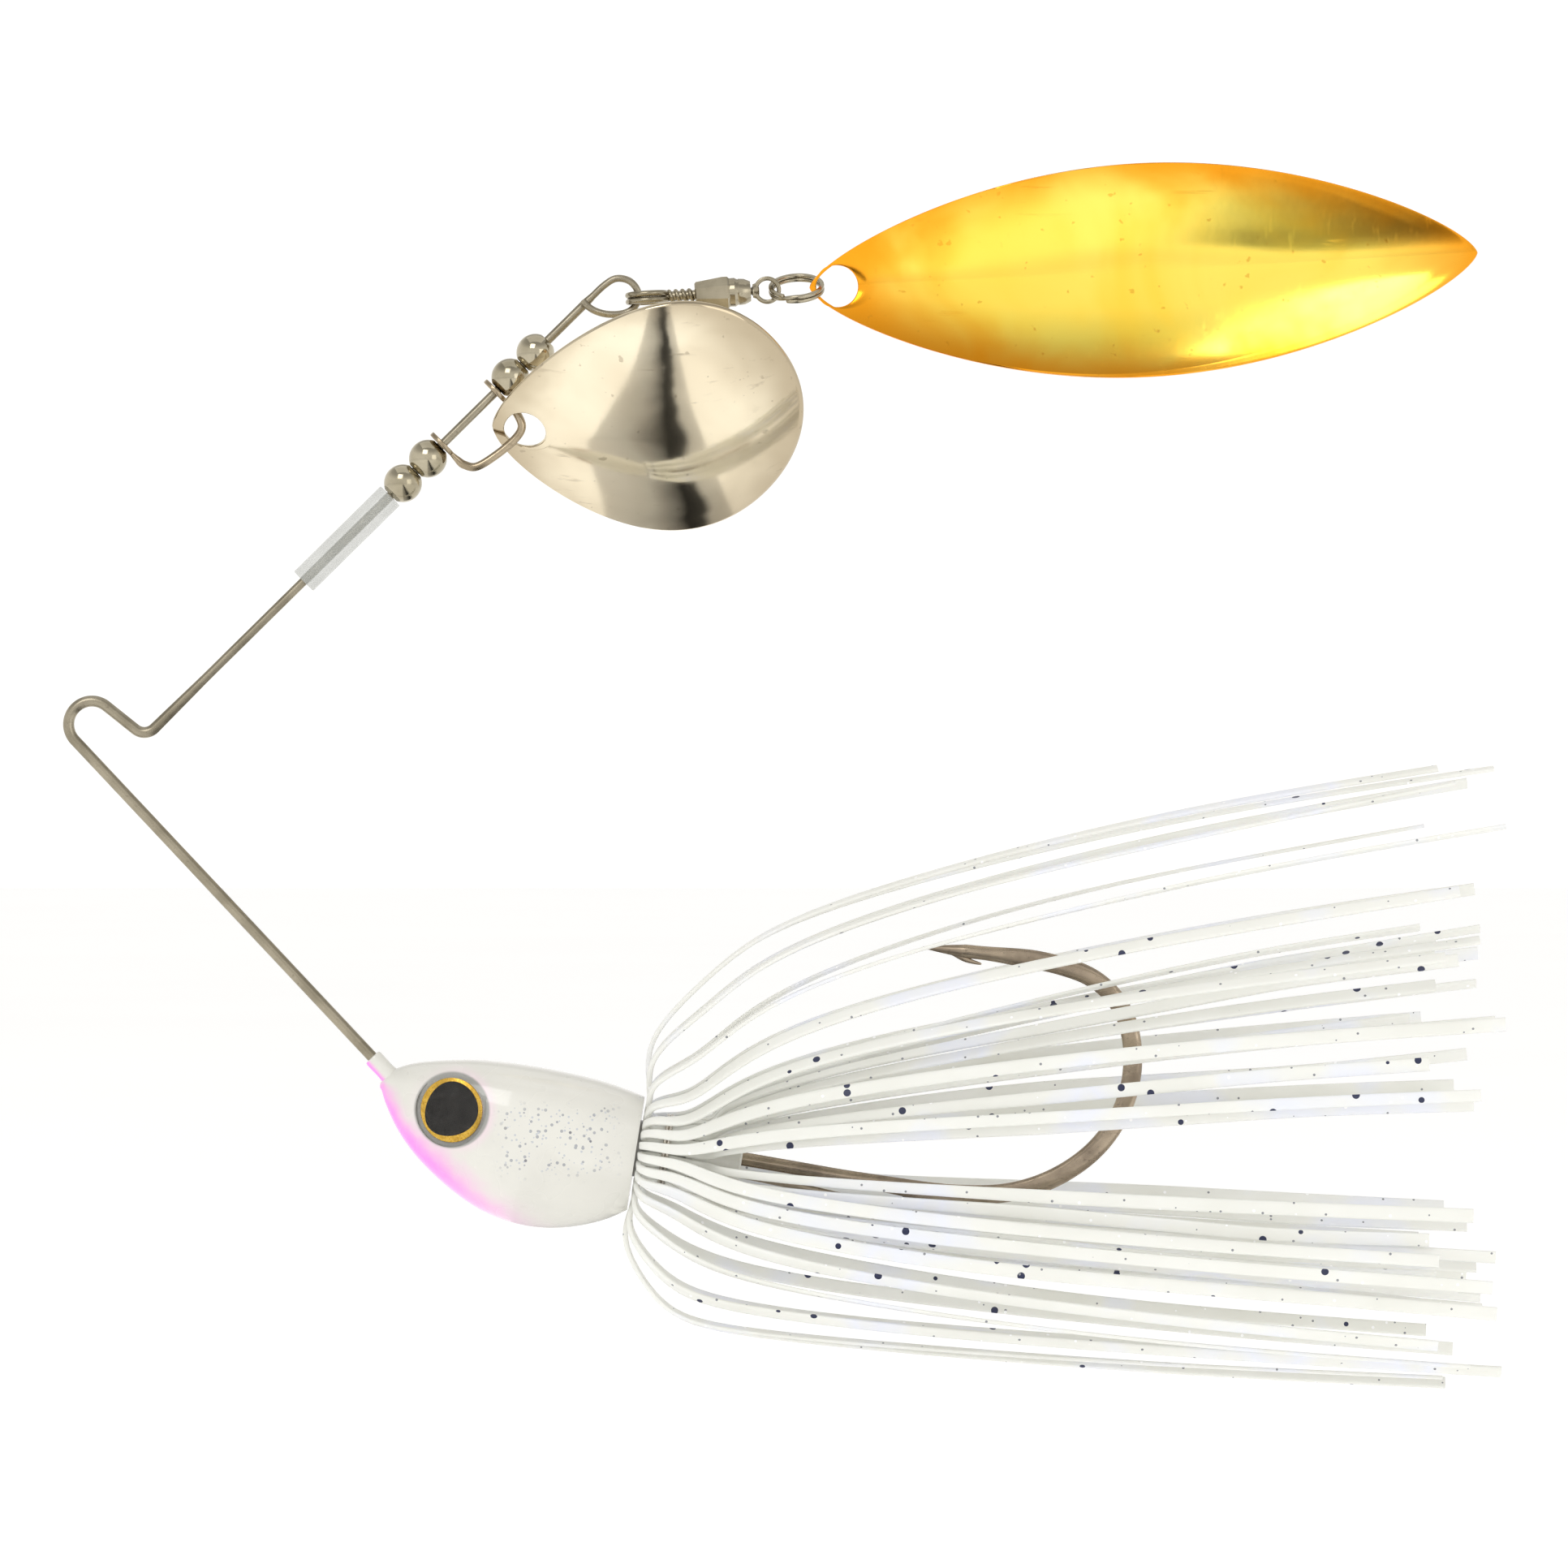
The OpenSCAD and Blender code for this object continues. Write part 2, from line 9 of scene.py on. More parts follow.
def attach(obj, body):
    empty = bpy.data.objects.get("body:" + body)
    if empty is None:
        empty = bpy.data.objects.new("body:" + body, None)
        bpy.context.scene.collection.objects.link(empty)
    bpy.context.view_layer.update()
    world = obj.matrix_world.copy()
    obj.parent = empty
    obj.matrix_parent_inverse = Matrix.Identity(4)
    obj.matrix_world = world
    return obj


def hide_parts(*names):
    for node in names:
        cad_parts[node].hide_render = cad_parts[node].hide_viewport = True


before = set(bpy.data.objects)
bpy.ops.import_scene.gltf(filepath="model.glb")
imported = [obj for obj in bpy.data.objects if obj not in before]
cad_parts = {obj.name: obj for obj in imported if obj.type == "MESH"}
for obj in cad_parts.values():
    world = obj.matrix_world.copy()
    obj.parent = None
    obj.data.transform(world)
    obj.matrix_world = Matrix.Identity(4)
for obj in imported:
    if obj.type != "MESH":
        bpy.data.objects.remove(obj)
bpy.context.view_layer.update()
print("frame loaded")

mm = 0.001  # shapes are worked out in millimetres and shrunk when they are placed
weldReach = 0.0005  # points closer than this, in millimetres, are joined


def atXz(x, z):
    return Vector((x, 0, z))


def heading(angle):
    a = math.radians(angle)
    return Vector((math.cos(a), 0, math.sin(a)))


def arcLine(center, radius, start, sweepAngle, steps):
    return [center + radius * heading(start + sweepAngle * i / steps) for i in range(steps + 1)]


def smoothLine(points, steps):
    # a curve through points of any length, as in the part's source
    last = len(points) - 1
    line = []
    for i in range(last):
        a, b, c, d = points[max(i - 1, 0)], points[i], points[i + 1], points[min(i + 2, last)]
        for k in range(steps):
            t = k / steps
            line.append([0.5 * (2 * q + (r - p) * t + (2 * p - 5 * q + 4 * r - s) * t * t
                                + (3 * q - p - 3 * r + s) * t ** 3) for p, q, r, s in zip(a, b, c, d)])
    line.append(list(points[last]))
    return line


def walkLine(at, angle, moves, finer=3):
    # each move is length, turn in degrees, chords
    line = [at.copy()]
    for length, turn, chords in moves:
        chords = chords * finer
        for k in range(chords):
            at = at + length / chords * heading(angle + turn * (k + 0.5) / chords)
            line.append(at.copy())
        angle += turn
    return line


def turned(axis, angle):
    return Matrix.Rotation(math.radians(angle), 4, axis)


def bulge(value, power):
    return math.copysign(abs(value) ** power, value)


wire = {
    "legWidth": 0.94, "armWidth": 0.74, "loopWidth": 0.6,
    "legAngle": 46.8, "armAngle": 44.6,
    "tieRadius": 1.95, "dipRadius": 1.2, "dipCenter": atXz(4.4, 0.52),
    "legLength": 45.2, "armLength": 51.6, "taperLength": 6.0, "neckLength": 0.8,
    "curlRadius": 1.3, "curlTurn": 75,
}
legWay = heading(-wire["legAngle"])
armWay = heading(wire["armAngle"])
legFoot = wire["tieRadius"] * heading(-90 - wire["legAngle"])
armFoot = wire["dipCenter"] + wire["dipRadius"] * heading(wire["armAngle"] - 90)
onArm = Matrix.Translation(armFoot) @ turned("Y", 90 - wire["armAngle"])
onLeg = Matrix.Translation(legFoot) @ turned("Y", 90 + wire["legAngle"])
onSwivel = Matrix.Translation(atXz(44.95, 35.65)) @ turned("Y", 90 - 3.6)
collar = {"center": atXz(48.08, -35.9), "tilt": 9}
onCollar = Matrix.Translation(collar["center"]) @ turned("Y", 90 + collar["tilt"])


def axisOf(matrix):
    # the direction of a place's own Z
    return matrix.to_3x3() @ Vector((0, 0, 1))


eye = {
    "center": Vector((30.3, -3.2, -32.2)), "yaw": 16, "width": 6.0, "gap": 0.1, "discWidth": 5.4,
    "discFrom": 0.02, "discTo": 0.22, "pupilLong": 2.42, "pupilWide": 2.2, "pupilTaper": 0.14, "pupilLean": 218,
    "pupilShift": -0.05, "domeFrom": 0.3, "domeHeight": 1.4, "domeCurve": 0.72,
}


def along(distance):
    return Matrix.Translation((0, 0, distance))


def ringEdges(bm, ring):
    return [bm.edges.get(pair) for pair in zip(ring, ring[1:] + ring[:1])]


def nextRing(bm, ring):
    # extrudes a closed ring of points and gives the new ring in the same order
    made = bmesh.ops.extrude_edge_only(bm, edges=ringEdges(bm, ring))["geom"]
    old = set(ring)
    pair = {}
    for vert in (g for g in made if isinstance(g, bmesh.types.BMVert)):
        for edge in vert.link_edges:
            other = edge.other_vert(vert)
            if other in old:
                pair[other] = vert
    return [pair[vert] for vert in ring]


def newRing(bm, count):
    # a closed ring of points in the order they are joined
    verts = bmesh.ops.create_circle(bm, segments=count, radius=1)["verts"]
    ring = [verts[0]]
    while len(ring) < count:
        ends = [edge.other_vert(ring[-1]) for edge in ring[-1].link_edges]
        ring.append(next(v for v in ends if v not in ring[-2:]))
    return ring


def closeRing(bm, ring):
    bmesh.ops.edgeloop_fill(bm, edges=ringEdges(bm, ring))


def sweepWire(bm, path, sizes, sides=(Vector((0, 1, 0)),), segments=20, power=(1.0,), rounded=True):
    # each size is half the width towards the side, then half the height across it
    last = len(path) - 1
    ring = None
    stops = []
    for i, point in enumerate(path):
        way = (path[min(i + 1, last)] - path[max(i - 1, 0)]).normalized()
        side = sides[min(i, len(sides) - 1)]
        side = (side - way * side.dot(way)).normalized()
        size = sizes[min(i, len(sizes) - 1)]
        stops.append((point, way, side, size, power[min(i, len(power) - 1)]))
    if rounded:  # a small round at each end
        for end, sign in ((0, -1), (-1, 1)):
            point, way, side, size, k = stops[end]
            small = min(size)
            extra = [(point - sign * way * small * (1 - f), way, side, (size[0] * g, size[1] * g), k)
                     for f, g in ((0.5, 0.95), (0.85, 0.75), (1.0, 0.45))]
            if sign < 0:
                stops = extra[::-1] + stops[1:]
            else:
                stops = stops[:-1] + extra
    for point, way, side, size, k in stops:
        up = way.cross(side)
        if ring is None:
            ring = first = newRing(bm, segments)
        else:
            ring = nextRing(bm, ring)
        for j, vert in enumerate(ring):
            a = math.tau * (j + 0.5) / segments
            vert.co = point + side * size[0] * bulge(math.cos(a), k) + up * size[1] * bulge(math.sin(a), k)
    closeRing(bm, first)
    closeRing(bm, ring)


def spinProfile(bm, profile, matrix, steps=48, closed=True):
    # profile points are radius and height; the turn is about local Z
    verts = [bm.verts.new((r, 0, z)) for r, z in profile]
    pairs = list(zip(verts, verts[1:] + verts[:1])) if closed else list(zip(verts, verts[1:]))
    edges = [bm.edges.new(pair) for pair in pairs]
    before = set(bm.verts) - set(verts)
    bmesh.ops.spin(bm, geom=verts + edges, cent=(0, 0, 0), axis=(0, 0, 1), angle=math.tau, steps=steps,
                   use_merge=True)
    made = [v for v in bm.verts if v not in before]
    bmesh.ops.remove_doubles(bm, verts=made, dist=weldReach)
    made = [v for v in bm.verts if v not in before]
    bmesh.ops.transform(bm, matrix=matrix, verts=made)


def roundedRing(inner, outer, low, high, soft):
    # a washer's section with soft edges
    section = []
    for r, z, start in ((outer - soft, low + soft, -90), (outer - soft, high - soft, 0),
                        (inner + soft, high - soft, 90), (inner + soft, low + soft, 180)):
        for k in range(4):
            a = math.radians(start + 30 * k)
            section.append((r + soft * math.cos(a), z + soft * math.sin(a)))
    return section


def wireSection(radius, half):
    # a round wire's section at some distance from the turn's axis
    turns = [math.tau * k / 16 for k in range(16)]
    return [(radius + half * math.cos(a), half * math.sin(a)) for a in turns]


def place(name, bm, material, body, nodes=(), sharp=40):
    bmesh.ops.remove_doubles(bm, verts=bm.verts, dist=weldReach)
    bmesh.ops.recalc_face_normals(bm, faces=bm.faces)
    bmesh.ops.scale(bm, vec=(mm, mm, mm), verts=bm.verts)
    mesh = bpy.data.meshes.new(name)
    bm.to_mesh(mesh)
    bm.free()
    return placeMesh(name, mesh, material, body, nodes, sharp)


def placeMesh(name, mesh, material, body, nodes=(), sharp=40):
    for face in mesh.polygons:
        face.use_smooth = True
    mesh.set_sharp_from_angle(angle=math.radians(sharp))
    mesh.materials.clear()
    mesh.materials.append(material)
    piece = bpy.data.objects.new(name, mesh)
    bpy.context.scene.collection.objects.link(piece)
    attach(piece, body)
    if nodes:
        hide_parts(*nodes)
    return piece


class Finish:
    # a material's node tree, with the few nodes that the finishes share
    def __init__(self, name):
        self.material = bpy.data.materials.new(name)
        self.material.use_nodes = True
        self.tree = self.material.node_tree
        self.shader = self.tree.nodes["Principled BSDF"]
        self.place = self.tree.nodes.new("ShaderNodeTexCoord")

    def add(self, kind, **settings):
        node = self.tree.nodes.new(kind)
        for key, value in settings.items():
            setattr(node, key, value)
        return node

    def link(self, source, target):
        self.tree.links.new(source, target)

    def fill(self, node, **values):
        for key, value in values.items():
            node.inputs[key.replace("_", " ")].default_value = value

    def put(self, **values):
        self.fill(self.shader, **values)

    def mapped(self, scale, move=(0, 0, 0), turn=(0, 0, 0)):
        node = self.add("ShaderNodeMapping", vector_type="POINT")
        self.fill(node, Location=move, Rotation=[math.radians(t) for t in turn], Scale=scale)
        self.link(self.place.outputs["Object"], node.inputs["Vector"])
        return node.outputs["Vector"]

    def noise(self, scale, detail=3.0, roughness=0.55, vector=None, distortion=0.0):
        node = self.add("ShaderNodeTexNoise")
        self.fill(node, Scale=scale, Detail=detail, Roughness=roughness, Distortion=distortion)
        self.link(vector or self.place.outputs["Object"], node.inputs["Vector"])
        return node.outputs["Fac"]

    def ramp(self, source, stops):
        node = self.add("ShaderNodeValToRGB")
        while len(node.color_ramp.elements) < len(stops):
            node.color_ramp.elements.new(0.5)
        for element, (at, colour) in zip(node.color_ramp.elements, stops):
            element.position = at
            element.color = (*colour, 1)
        self.link(source, node.inputs["Fac"])
        return node.outputs["Color"]

    def span(self, source, low, high, outLow=0.0, outHigh=1.0, smooth=False):
        node = self.add("ShaderNodeMapRange", interpolation_type="SMOOTHSTEP" if smooth else "LINEAR")
        self.fill(node, From_Min=low, From_Max=high, To_Min=outLow, To_Max=outHigh)
        self.link(source, node.inputs["Value"])
        return node.outputs["Result"]

    def sum(self, operation, a, b):
        node = self.add("ShaderNodeMath", operation=operation)
        for socket, value in zip(node.inputs, (a, b)):
            if isinstance(value, (int, float)):
                socket.default_value = value
            else:
                self.link(value, socket)
        return node.outputs["Value"]

    def mix(self, amount, a, b):
        node = self.add("ShaderNodeMix", data_type="RGBA")
        sockets = [s for s in node.inputs if s.type == "RGBA"]
        for socket, value in ((node.inputs["Factor"], amount), (sockets[0], a), (sockets[1], b)):
            if isinstance(value, (int, float)):
                socket.default_value = value
            elif isinstance(value, tuple):
                socket.default_value = (*value, 1)
            else:
                self.link(value, socket)
        return next(s for s in node.outputs if s.type == "RGBA")

    def bump(self, height, strength, distance, under=None):
        node = self.add("ShaderNodeBump")
        self.fill(node, Strength=strength, Distance=distance)
        self.link(height, node.inputs["Height"])
        if under is not None:
            self.link(under, node.inputs["Normal"])
        return node.outputs["Normal"]

    def flecks(self, cell, size, share):
        # scattered round grains: 1 inside a grain, 0 elsewhere
        grains = self.add("ShaderNodeTexVoronoi")
        self.fill(grains, Scale=cell)
        self.link(self.place.outputs["Object"], grains.inputs["Vector"])
        pick = self.add("ShaderNodeSeparateColor")
        self.link(grains.outputs["Color"], pick.inputs["Color"])
        here = self.sum("LESS_THAN", grains.outputs["Distance"], size)
        some = self.sum("LESS_THAN", pick.outputs["Red"], share)
        return self.sum("MULTIPLY", here, some)

    def window(self, source, fromLow, fromHigh, toLow, toHigh):
        # rises between the first two values and falls between the last two
        rise = self.span(source, fromLow, fromHigh, 0, 1, True)
        return self.sum("MULTIPLY", rise, self.span(source, toLow, toHigh, 1, 0, True))

    def colour(self, source):
        self.link(source, self.shader.inputs["Base Color"])

    def rough(self, source):
        self.link(source, self.shader.inputs["Roughness"])

    def normal(self, source):
        self.link(source, self.shader.inputs["Normal"])


def metalFinish(name, colour, dull, rough, streakTurn, streak, scale, wear=0.0):
    # plated or drawn metal: slow tarnish, fine streaks along one way, and a few handling marks
    finish = Finish(name)
    finish.put(Metallic=1.0, IOR=1.5)
    cloud = finish.noise(260.0, 4.0, 0.6)
    streaks = finish.noise(scale, 5.0, 0.62, finish.mapped((0.06, 1, 1), turn=streakTurn))
    marks = finish.noise(2400.0, 2.0, 0.5)
    tone = finish.mix(finish.span(cloud, 0.35, 0.72, 0, 1, True), colour, dull)
    if wear:
        worn = tuple(c * 0.45 for c in dull)
        tone = finish.mix(finish.span(marks, 0.62, 0.74, 0, wear, True), tone, worn)
    finish.colour(tone)
    level = finish.sum("ADD", finish.span(cloud, 0.3, 0.75, rough[0], rough[1]),
                       finish.span(streaks, 0.4, 0.7, 0.0, streak))
    finish.rough(finish.sum("ADD", level, finish.span(marks, 0.6, 0.75, 0.0, 0.06)))
    finish.normal(finish.bump(marks, 0.04, 0.00001, finish.bump(streaks, 0.12, 0.000008)))
    return finish.material


# bright colour, dull colour, roughness, streak turn, streak strength, streak scale, wear
metals = {name: metalFinish(name, *values) for name, values in {
    "drawnWire": ((0.36, 0.32, 0.24), (0.25, 0.22, 0.16), (0.2, 0.32), (0, -45, 0), 0.15, 1500.0, 0.3),
    "beadNickel": ((0.48, 0.43, 0.32), (0.34, 0.3, 0.21), (0.07, 0.15), (0, -45, 0), 0.05, 700.0, 0.2),
    "smallNickel": ((0.4, 0.355, 0.26), (0.27, 0.235, 0.165), (0.13, 0.24), (0, 0, 0), 0.1, 1300.0, 0.35),
    "clevisNickel": ((0.44, 0.36, 0.25), (0.3, 0.24, 0.16), (0.12, 0.22), (0, -45, 0), 0.1, 1200.0, 0.3),
    "bearingSteel": ((0.6, 0.6, 0.6), (0.5, 0.5, 0.5), (0.1, 0.18), (0, 0, 0), 0.04, 900.0),
    "keeperSteel": ((0.4, 0.34, 0.26), (0.27, 0.22, 0.17), (0.22, 0.34), (0, 11, 0), 0.12, 1500.0, 0.3),
    "tieSteel": ((0.55, 0.51, 0.45), (0.38, 0.35, 0.31), (0.18, 0.3), (0, 0, 90), 0.1, 1500.0, 0.2),
    "forgedHook": ((0.4, 0.325, 0.24), (0.25, 0.2, 0.15), (0.15, 0.26), (0, 8, 0), 0.14, 1300.0, 0.4),
}.items()}


def bladeFinish(name, colour, dull, deep, rim, rough, turn, center, reach):
    # mirror plate: a slow tint, painted shade that darkens the plate towards its rim, hair scratches in two directions
    # and small pits
    finish = Finish(name)
    finish.put(Metallic=1.0, IOR=1.5)
    cloud = finish.noise(90.0, 3.0, 0.5, distortion=0.6)
    hairA = finish.noise(1700.0, 3.0, 0.6, finish.mapped((0.035, 1, 1), turn=turn))
    hairB = finish.noise(1500.0, 3.0, 0.6, finish.mapped((1, 1, 0.05), turn=(0, turn[1] + 18, 0)))
    pits = finish.noise(1500.0, 2.0, 0.4)
    ripple = finish.noise(130.0, 2.0, 0.5)
    patch = finish.span(finish.noise(120.0, 2.0, 0.5), 0.55, 0.68, 0, 1, True)
    scratch = finish.sum("MULTIPLY", finish.span(hairA, 0.6, 0.72, 0, 1), patch)
    tone = finish.mix(finish.span(cloud, 0.35, 0.7, 0, 1, True), colour, dull)
    # painted shade: the plate goes over to the rim colour as it nears its rim, reckoned from the given center and reach
    rimShadeDistance = finish.add("ShaderNodeVectorMath", operation="LENGTH")
    across = finish.mapped((1 / reach[0], 0, 1 / reach[1]), (-center[0] / reach[0], 0, -center[1] / reach[1]))
    finish.link(across, rimShadeDistance.inputs[0])
    edge = finish.sum("ADD", rimShadeDistance.outputs["Value"], finish.span(cloud, 0.3, 0.7, -0.1, 0.1))
    tone = finish.mix(finish.span(edge, 0.55, 0.95, 0, 0.95, True), tone, rim)
    tone = finish.mix(finish.sum("MULTIPLY", scratch, 0.5), tone, deep)
    tone = finish.mix(finish.span(pits, 0.7, 0.76, 0, 0.5, True), tone, deep)
    finish.colour(tone)
    level = finish.sum("ADD", finish.span(cloud, 0.3, 0.7, rough[0], rough[1]),
                       finish.sum("MULTIPLY", scratch, 0.18))
    finish.rough(finish.sum("ADD", level, finish.span(hairB, 0.6, 0.8, 0, 0.06)))
    normal = finish.bump(ripple, 0.25, 0.00004)
    normal = finish.bump(hairA, 0.16, 0.000008, normal)
    finish.normal(finish.bump(pits, 0.1, 0.00001, normal))
    return finish.material


# colour, dull colour, scratch colour, painted rim shade colour, roughness, scratch turn, then the painted rim shade's
# center and reach
nickelBlade = bladeFinish("bladeNickel", (0.88, 0.79, 0.6), (0.78, 0.68, 0.5), (0.34, 0.28, 0.2),
                          (0.46, 0.38, 0.26), (0.05, 0.12), (0, 20, 0), (0.0465, 0.0245), (0.0135, 0.0125))
goldBlade = bladeFinish("bladeGold", (1.0, 0.78, 0.13), (1.0, 0.68, 0.07), (0.7, 0.3, 0.02),
                        (0.9, 0.33, 0.012), (0.1, 0.18), (0, 3, 0), (0.0882, 0.038), (0.0285, 0.0098))


def headPaint():
    # gloss pearl white, a pink throat where the surface faces down and forward, silver glitter on the cheeks, and a
    # dark ring of painted shade round each eye
    finish = Finish("headPearl")
    finish.put(Metallic=0.0, Coat_Weight=0.7, Coat_Roughness=0.05, IOR=1.5)
    split = finish.add("ShaderNodeSeparateXYZ")
    finish.link(finish.place.outputs["Object"], split.inputs["Vector"])
    facing = finish.add("ShaderNodeVectorMath", operation="DOT_PRODUCT")
    finish.link(finish.place.outputs["Normal"], facing.inputs[0])
    facing.inputs[1].default_value = (-0.8, 0, -0.6)
    drift = finish.noise(500.0, 2.0, 0.5)
    throat = finish.sum("ADD", facing.outputs["Value"], finish.span(drift, 0.3, 0.7, -0.06, 0.06))
    throat = finish.sum("MULTIPLY", finish.span(throat, 0.3, 0.9, 0, 1, True),
                        finish.span(split.outputs["X"], 0.027, 0.041, 1, 0.0, True))
    cloud = finish.span(finish.noise(160.0, 3.0, 0.5), 0.35, 0.7, 0, 1, True)
    pearl = finish.mix(cloud, (0.7, 0.69, 0.635), (0.66, 0.65, 0.6))
    ring = finish.add("ShaderNodeVectorMath", operation="DISTANCE")
    finish.link(finish.mapped((1, 0, 1)), ring.inputs[0])
    ring.inputs[1].default_value = (eye["center"].x * mm, 0, eye["center"].z * mm)
    blush = finish.sum("MULTIPLY", finish.span(ring.outputs["Value"], 0.003, 0.0041, 0.3, 0, True),
                       finish.span(split.outputs["X"], 0.028, 0.034, 0.2, 1, True))
    tone = finish.mix(blush, pearl, (0.93, 0.5, 0.78))
    tone = finish.mix(throat, tone, (0.93, 0.22, 0.78))
    # painted shade: a dark ring round each eye, under the dome's edge and in the socket's gap
    socket = finish.sum("MULTIPLY", finish.span(ring.outputs["Value"], 0.0025, 0.0027, 0, 1),
                        finish.span(ring.outputs["Value"], 0.00305, 0.0033, 1, 0, True))
    tone = finish.mix(socket, tone, (0.3, 0.3, 0.28))
    cheek = finish.sum("MULTIPLY", finish.window(split.outputs["X"], 0.0335, 0.0355, 0.0425, 0.0452),
                       finish.window(split.outputs["Z"], -0.0385, -0.0365, -0.0325, -0.0312))
    for cell, size, share, colour in ((1900.0, 0.26, 0.55, (0.36, 0.37, 0.39)),
                                      (2700.0, 0.26, 0.5, (0.5, 0.52, 0.55)),
                                      (1100.0, 0.15, 0.35, (0.2, 0.2, 0.22))):
        glitter = finish.sum("MULTIPLY", finish.flecks(cell, size, share), cheek)
        tone = finish.mix(glitter, tone, colour)
    finish.colour(tone)
    finish.rough(finish.span(finish.noise(400.0, 1.0, 0.5), 0.3, 0.7, 0.26, 0.3))
    finish.normal(finish.bump(finish.noise(240.0, 1.0, 0.4), 0.03, 0.00002))
    return finish.material


def plainFinish(name, grain, colours, spread, rough, relief, **settings):
    # one noise that drives the tint, the gloss and a slight relief
    finish = Finish(name)
    finish.put(**settings)
    cloud = finish.noise(*grain)
    finish.colour(finish.mix(finish.span(cloud, *spread), *colours))
    finish.rough(finish.span(cloud, 0.3, 0.7, *rough))
    finish.normal(finish.bump(cloud, *relief))
    return finish.material


def skirtFinish():
    # translucent pearl silicone with a violet drift, dark flecks, small specks and white sparkles
    finish = Finish("skirtSilicone")
    finish.put(IOR=1.42, Subsurface_Weight=0.3, Subsurface_Scale=0.0012, Alpha=0.93)
    finish.shader.inputs["Subsurface Radius"].default_value = (1.0, 0.95, 0.9)
    drift = finish.noise(110.0, 2.0, 0.5)
    tone = finish.ramp(drift, [(0.3, (0.79, 0.79, 0.73)), (0.54, (0.84, 0.84, 0.79)), (0.66, (0.8, 0.82, 0.9)),
                               (0.75, (0.82, 0.82, 0.77))])
    for cell, size, share, colour in ((400.0, 0.13, 0.42, (0.02, 0.025, 0.07)),
                                      (1150.0, 0.13, 0.3, (0.25, 0.26, 0.28)),
                                      (900.0, 0.12, 0.35, (1.0, 1.0, 1.0))):
        tone = finish.mix(finish.flecks(cell, size, share), tone, colour)
    finish.colour(tone)
    grain = finish.noise(1400.0, 3.0, 0.55)
    finish.rough(finish.span(grain, 0.3, 0.7, 0.3, 0.46))
    finish.normal(finish.bump(grain, 0.18, 0.00003))
    return finish.material


headPearl = headPaint()
skirtSilicone = skirtFinish()
eyeFoil = plainFinish("eyeFoil", (3500.0, 3.0, 0.6), ((0.74, 0.46, 0.06), (0.52, 0.29, 0.03)), (0.35, 0.7),
                      (0.2, 0.36), (0.3, 0.00002), Metallic=0.85, IOR=1.5)
eyePupil = plainFinish("eyePupil", (1500.0, 3.0, 0.6), ((0.008, 0.007, 0.006), (0.02, 0.018, 0.016)), (0.4, 0.7),
                       (0.12, 0.24), (0.08, 0.00002), IOR=1.5, Specular_IOR_Level=0.12)
eyeResin = plainFinish("eyeResin", (700.0, 2.0, 0.5), ((0.3, 0.3, 0.29), (0.22, 0.22, 0.215)), (0.4, 0.7),
                       (0.03, 0.08), (0.05, 0.00003), IOR=1.45, Alpha=0.03, Coat_Weight=0.12, Coat_Roughness=0.02)
clearSilicone = plainFinish("clearSilicone", (600.0, 3.0, 0.55), ((0.56, 0.57, 0.54), (0.46, 0.47, 0.44)),
                            (0.35, 0.7), (0.18, 0.32), (0.2, 0.00004), IOR=1.41, Alpha=0.42)
print("finishes made")


throat = (math.degrees(math.atan2(wire["dipCenter"].z, wire["dipCenter"].x))
          - math.degrees(math.asin((wire["tieRadius"] + wire["dipRadius"]) / wire["dipCenter"].length)))
loopStart = armFoot + wire["armLength"] * armWay
legEnd = legFoot + wire["legLength"] * legWay
curlCenter = legEnd + wire["curlRadius"] * Vector((-legWay.z, 0, legWay.x))
loopPoints = [loopStart[:], (42.95, 0, 36.8), (43.9, 0, 37.35), (44.95, 0, 37.2), (45.65, 0, 36.5),
              (45.78, 0, 35.6), (45.3, 0, 34.8), (44.4, -0.1, 34.4), (43.2, -0.35, 34.35), (42.2, -0.68, 34.6),
              (41.5, -0.76, 35.05), (41.1, -0.76, 35.5)]


def makeWire():
    curlStart = wire["curlTurn"] - 90 - wire["legAngle"]
    stem = arcLine(curlCenter, wire["curlRadius"], curlStart, -wire["curlTurn"], 16)
    stem += arcLine(Vector(), wire["tieRadius"], 270 - wire["legAngle"], throat + wire["legAngle"] - 180, 48)
    stem += arcLine(wire["dipCenter"], wire["dipRadius"], throat - 90, wire["armAngle"] - throat, 22)
    arm = [armFoot + at * armWay for at in (wire["taperLength"], wire["armLength"] - wire["neckLength"])]
    path = stem + arm + [Vector(p) for p in smoothLine(loopPoints, 8)]
    sizes = []
    for key, count in (("legWidth", len(stem)), ("armWidth", len(arm)), ("loopWidth", 1)):
        sizes += [(wire[key] / 2,) * 2] * count
    bm = bmesh.new()
    sweepWire(bm, path, sizes, segments=28)
    place("wireForm", bm, metals["drawnWire"], "head_and_wire", ["wire_form"])


makeWire()
print("wire form made")


stack = {
    "beadWidth": 3.2, "beadLength": 2.88, "bore": 0.45, "gap": 0.06,
    "sleeveAt": 17.55, "sleeveLength": 10.2, "sleeveWidth": 2.3,
    "sleeveBore": 0.41, "earThick": 0.4, "earBore": 0.5, "earRadius": 1.3, "earSpan": 6.3, "bowWidth": 0.72,
    "bowFlat": (0.62, 0.195), "soft": 0.09,
    "bow": [(0.95, 0, 0), (1.75, 0, 0), (2.5, 0, 0.1), (3.35, 0, 0.75), (3.8, 0, 2.6), (3.95, 0, 4.6), (3.65, 0, 5.75),
            (2.7, 0, 6.22), (1.75, 0, 6.3), (0.95, 0, 6.3)],
}
lowerOuterAt = stack["sleeveAt"] + stack["sleeveLength"] + stack["gap"] + stack["beadLength"] / 2
lowerInnerAt = lowerOuterAt + stack["beadLength"] + stack["gap"]
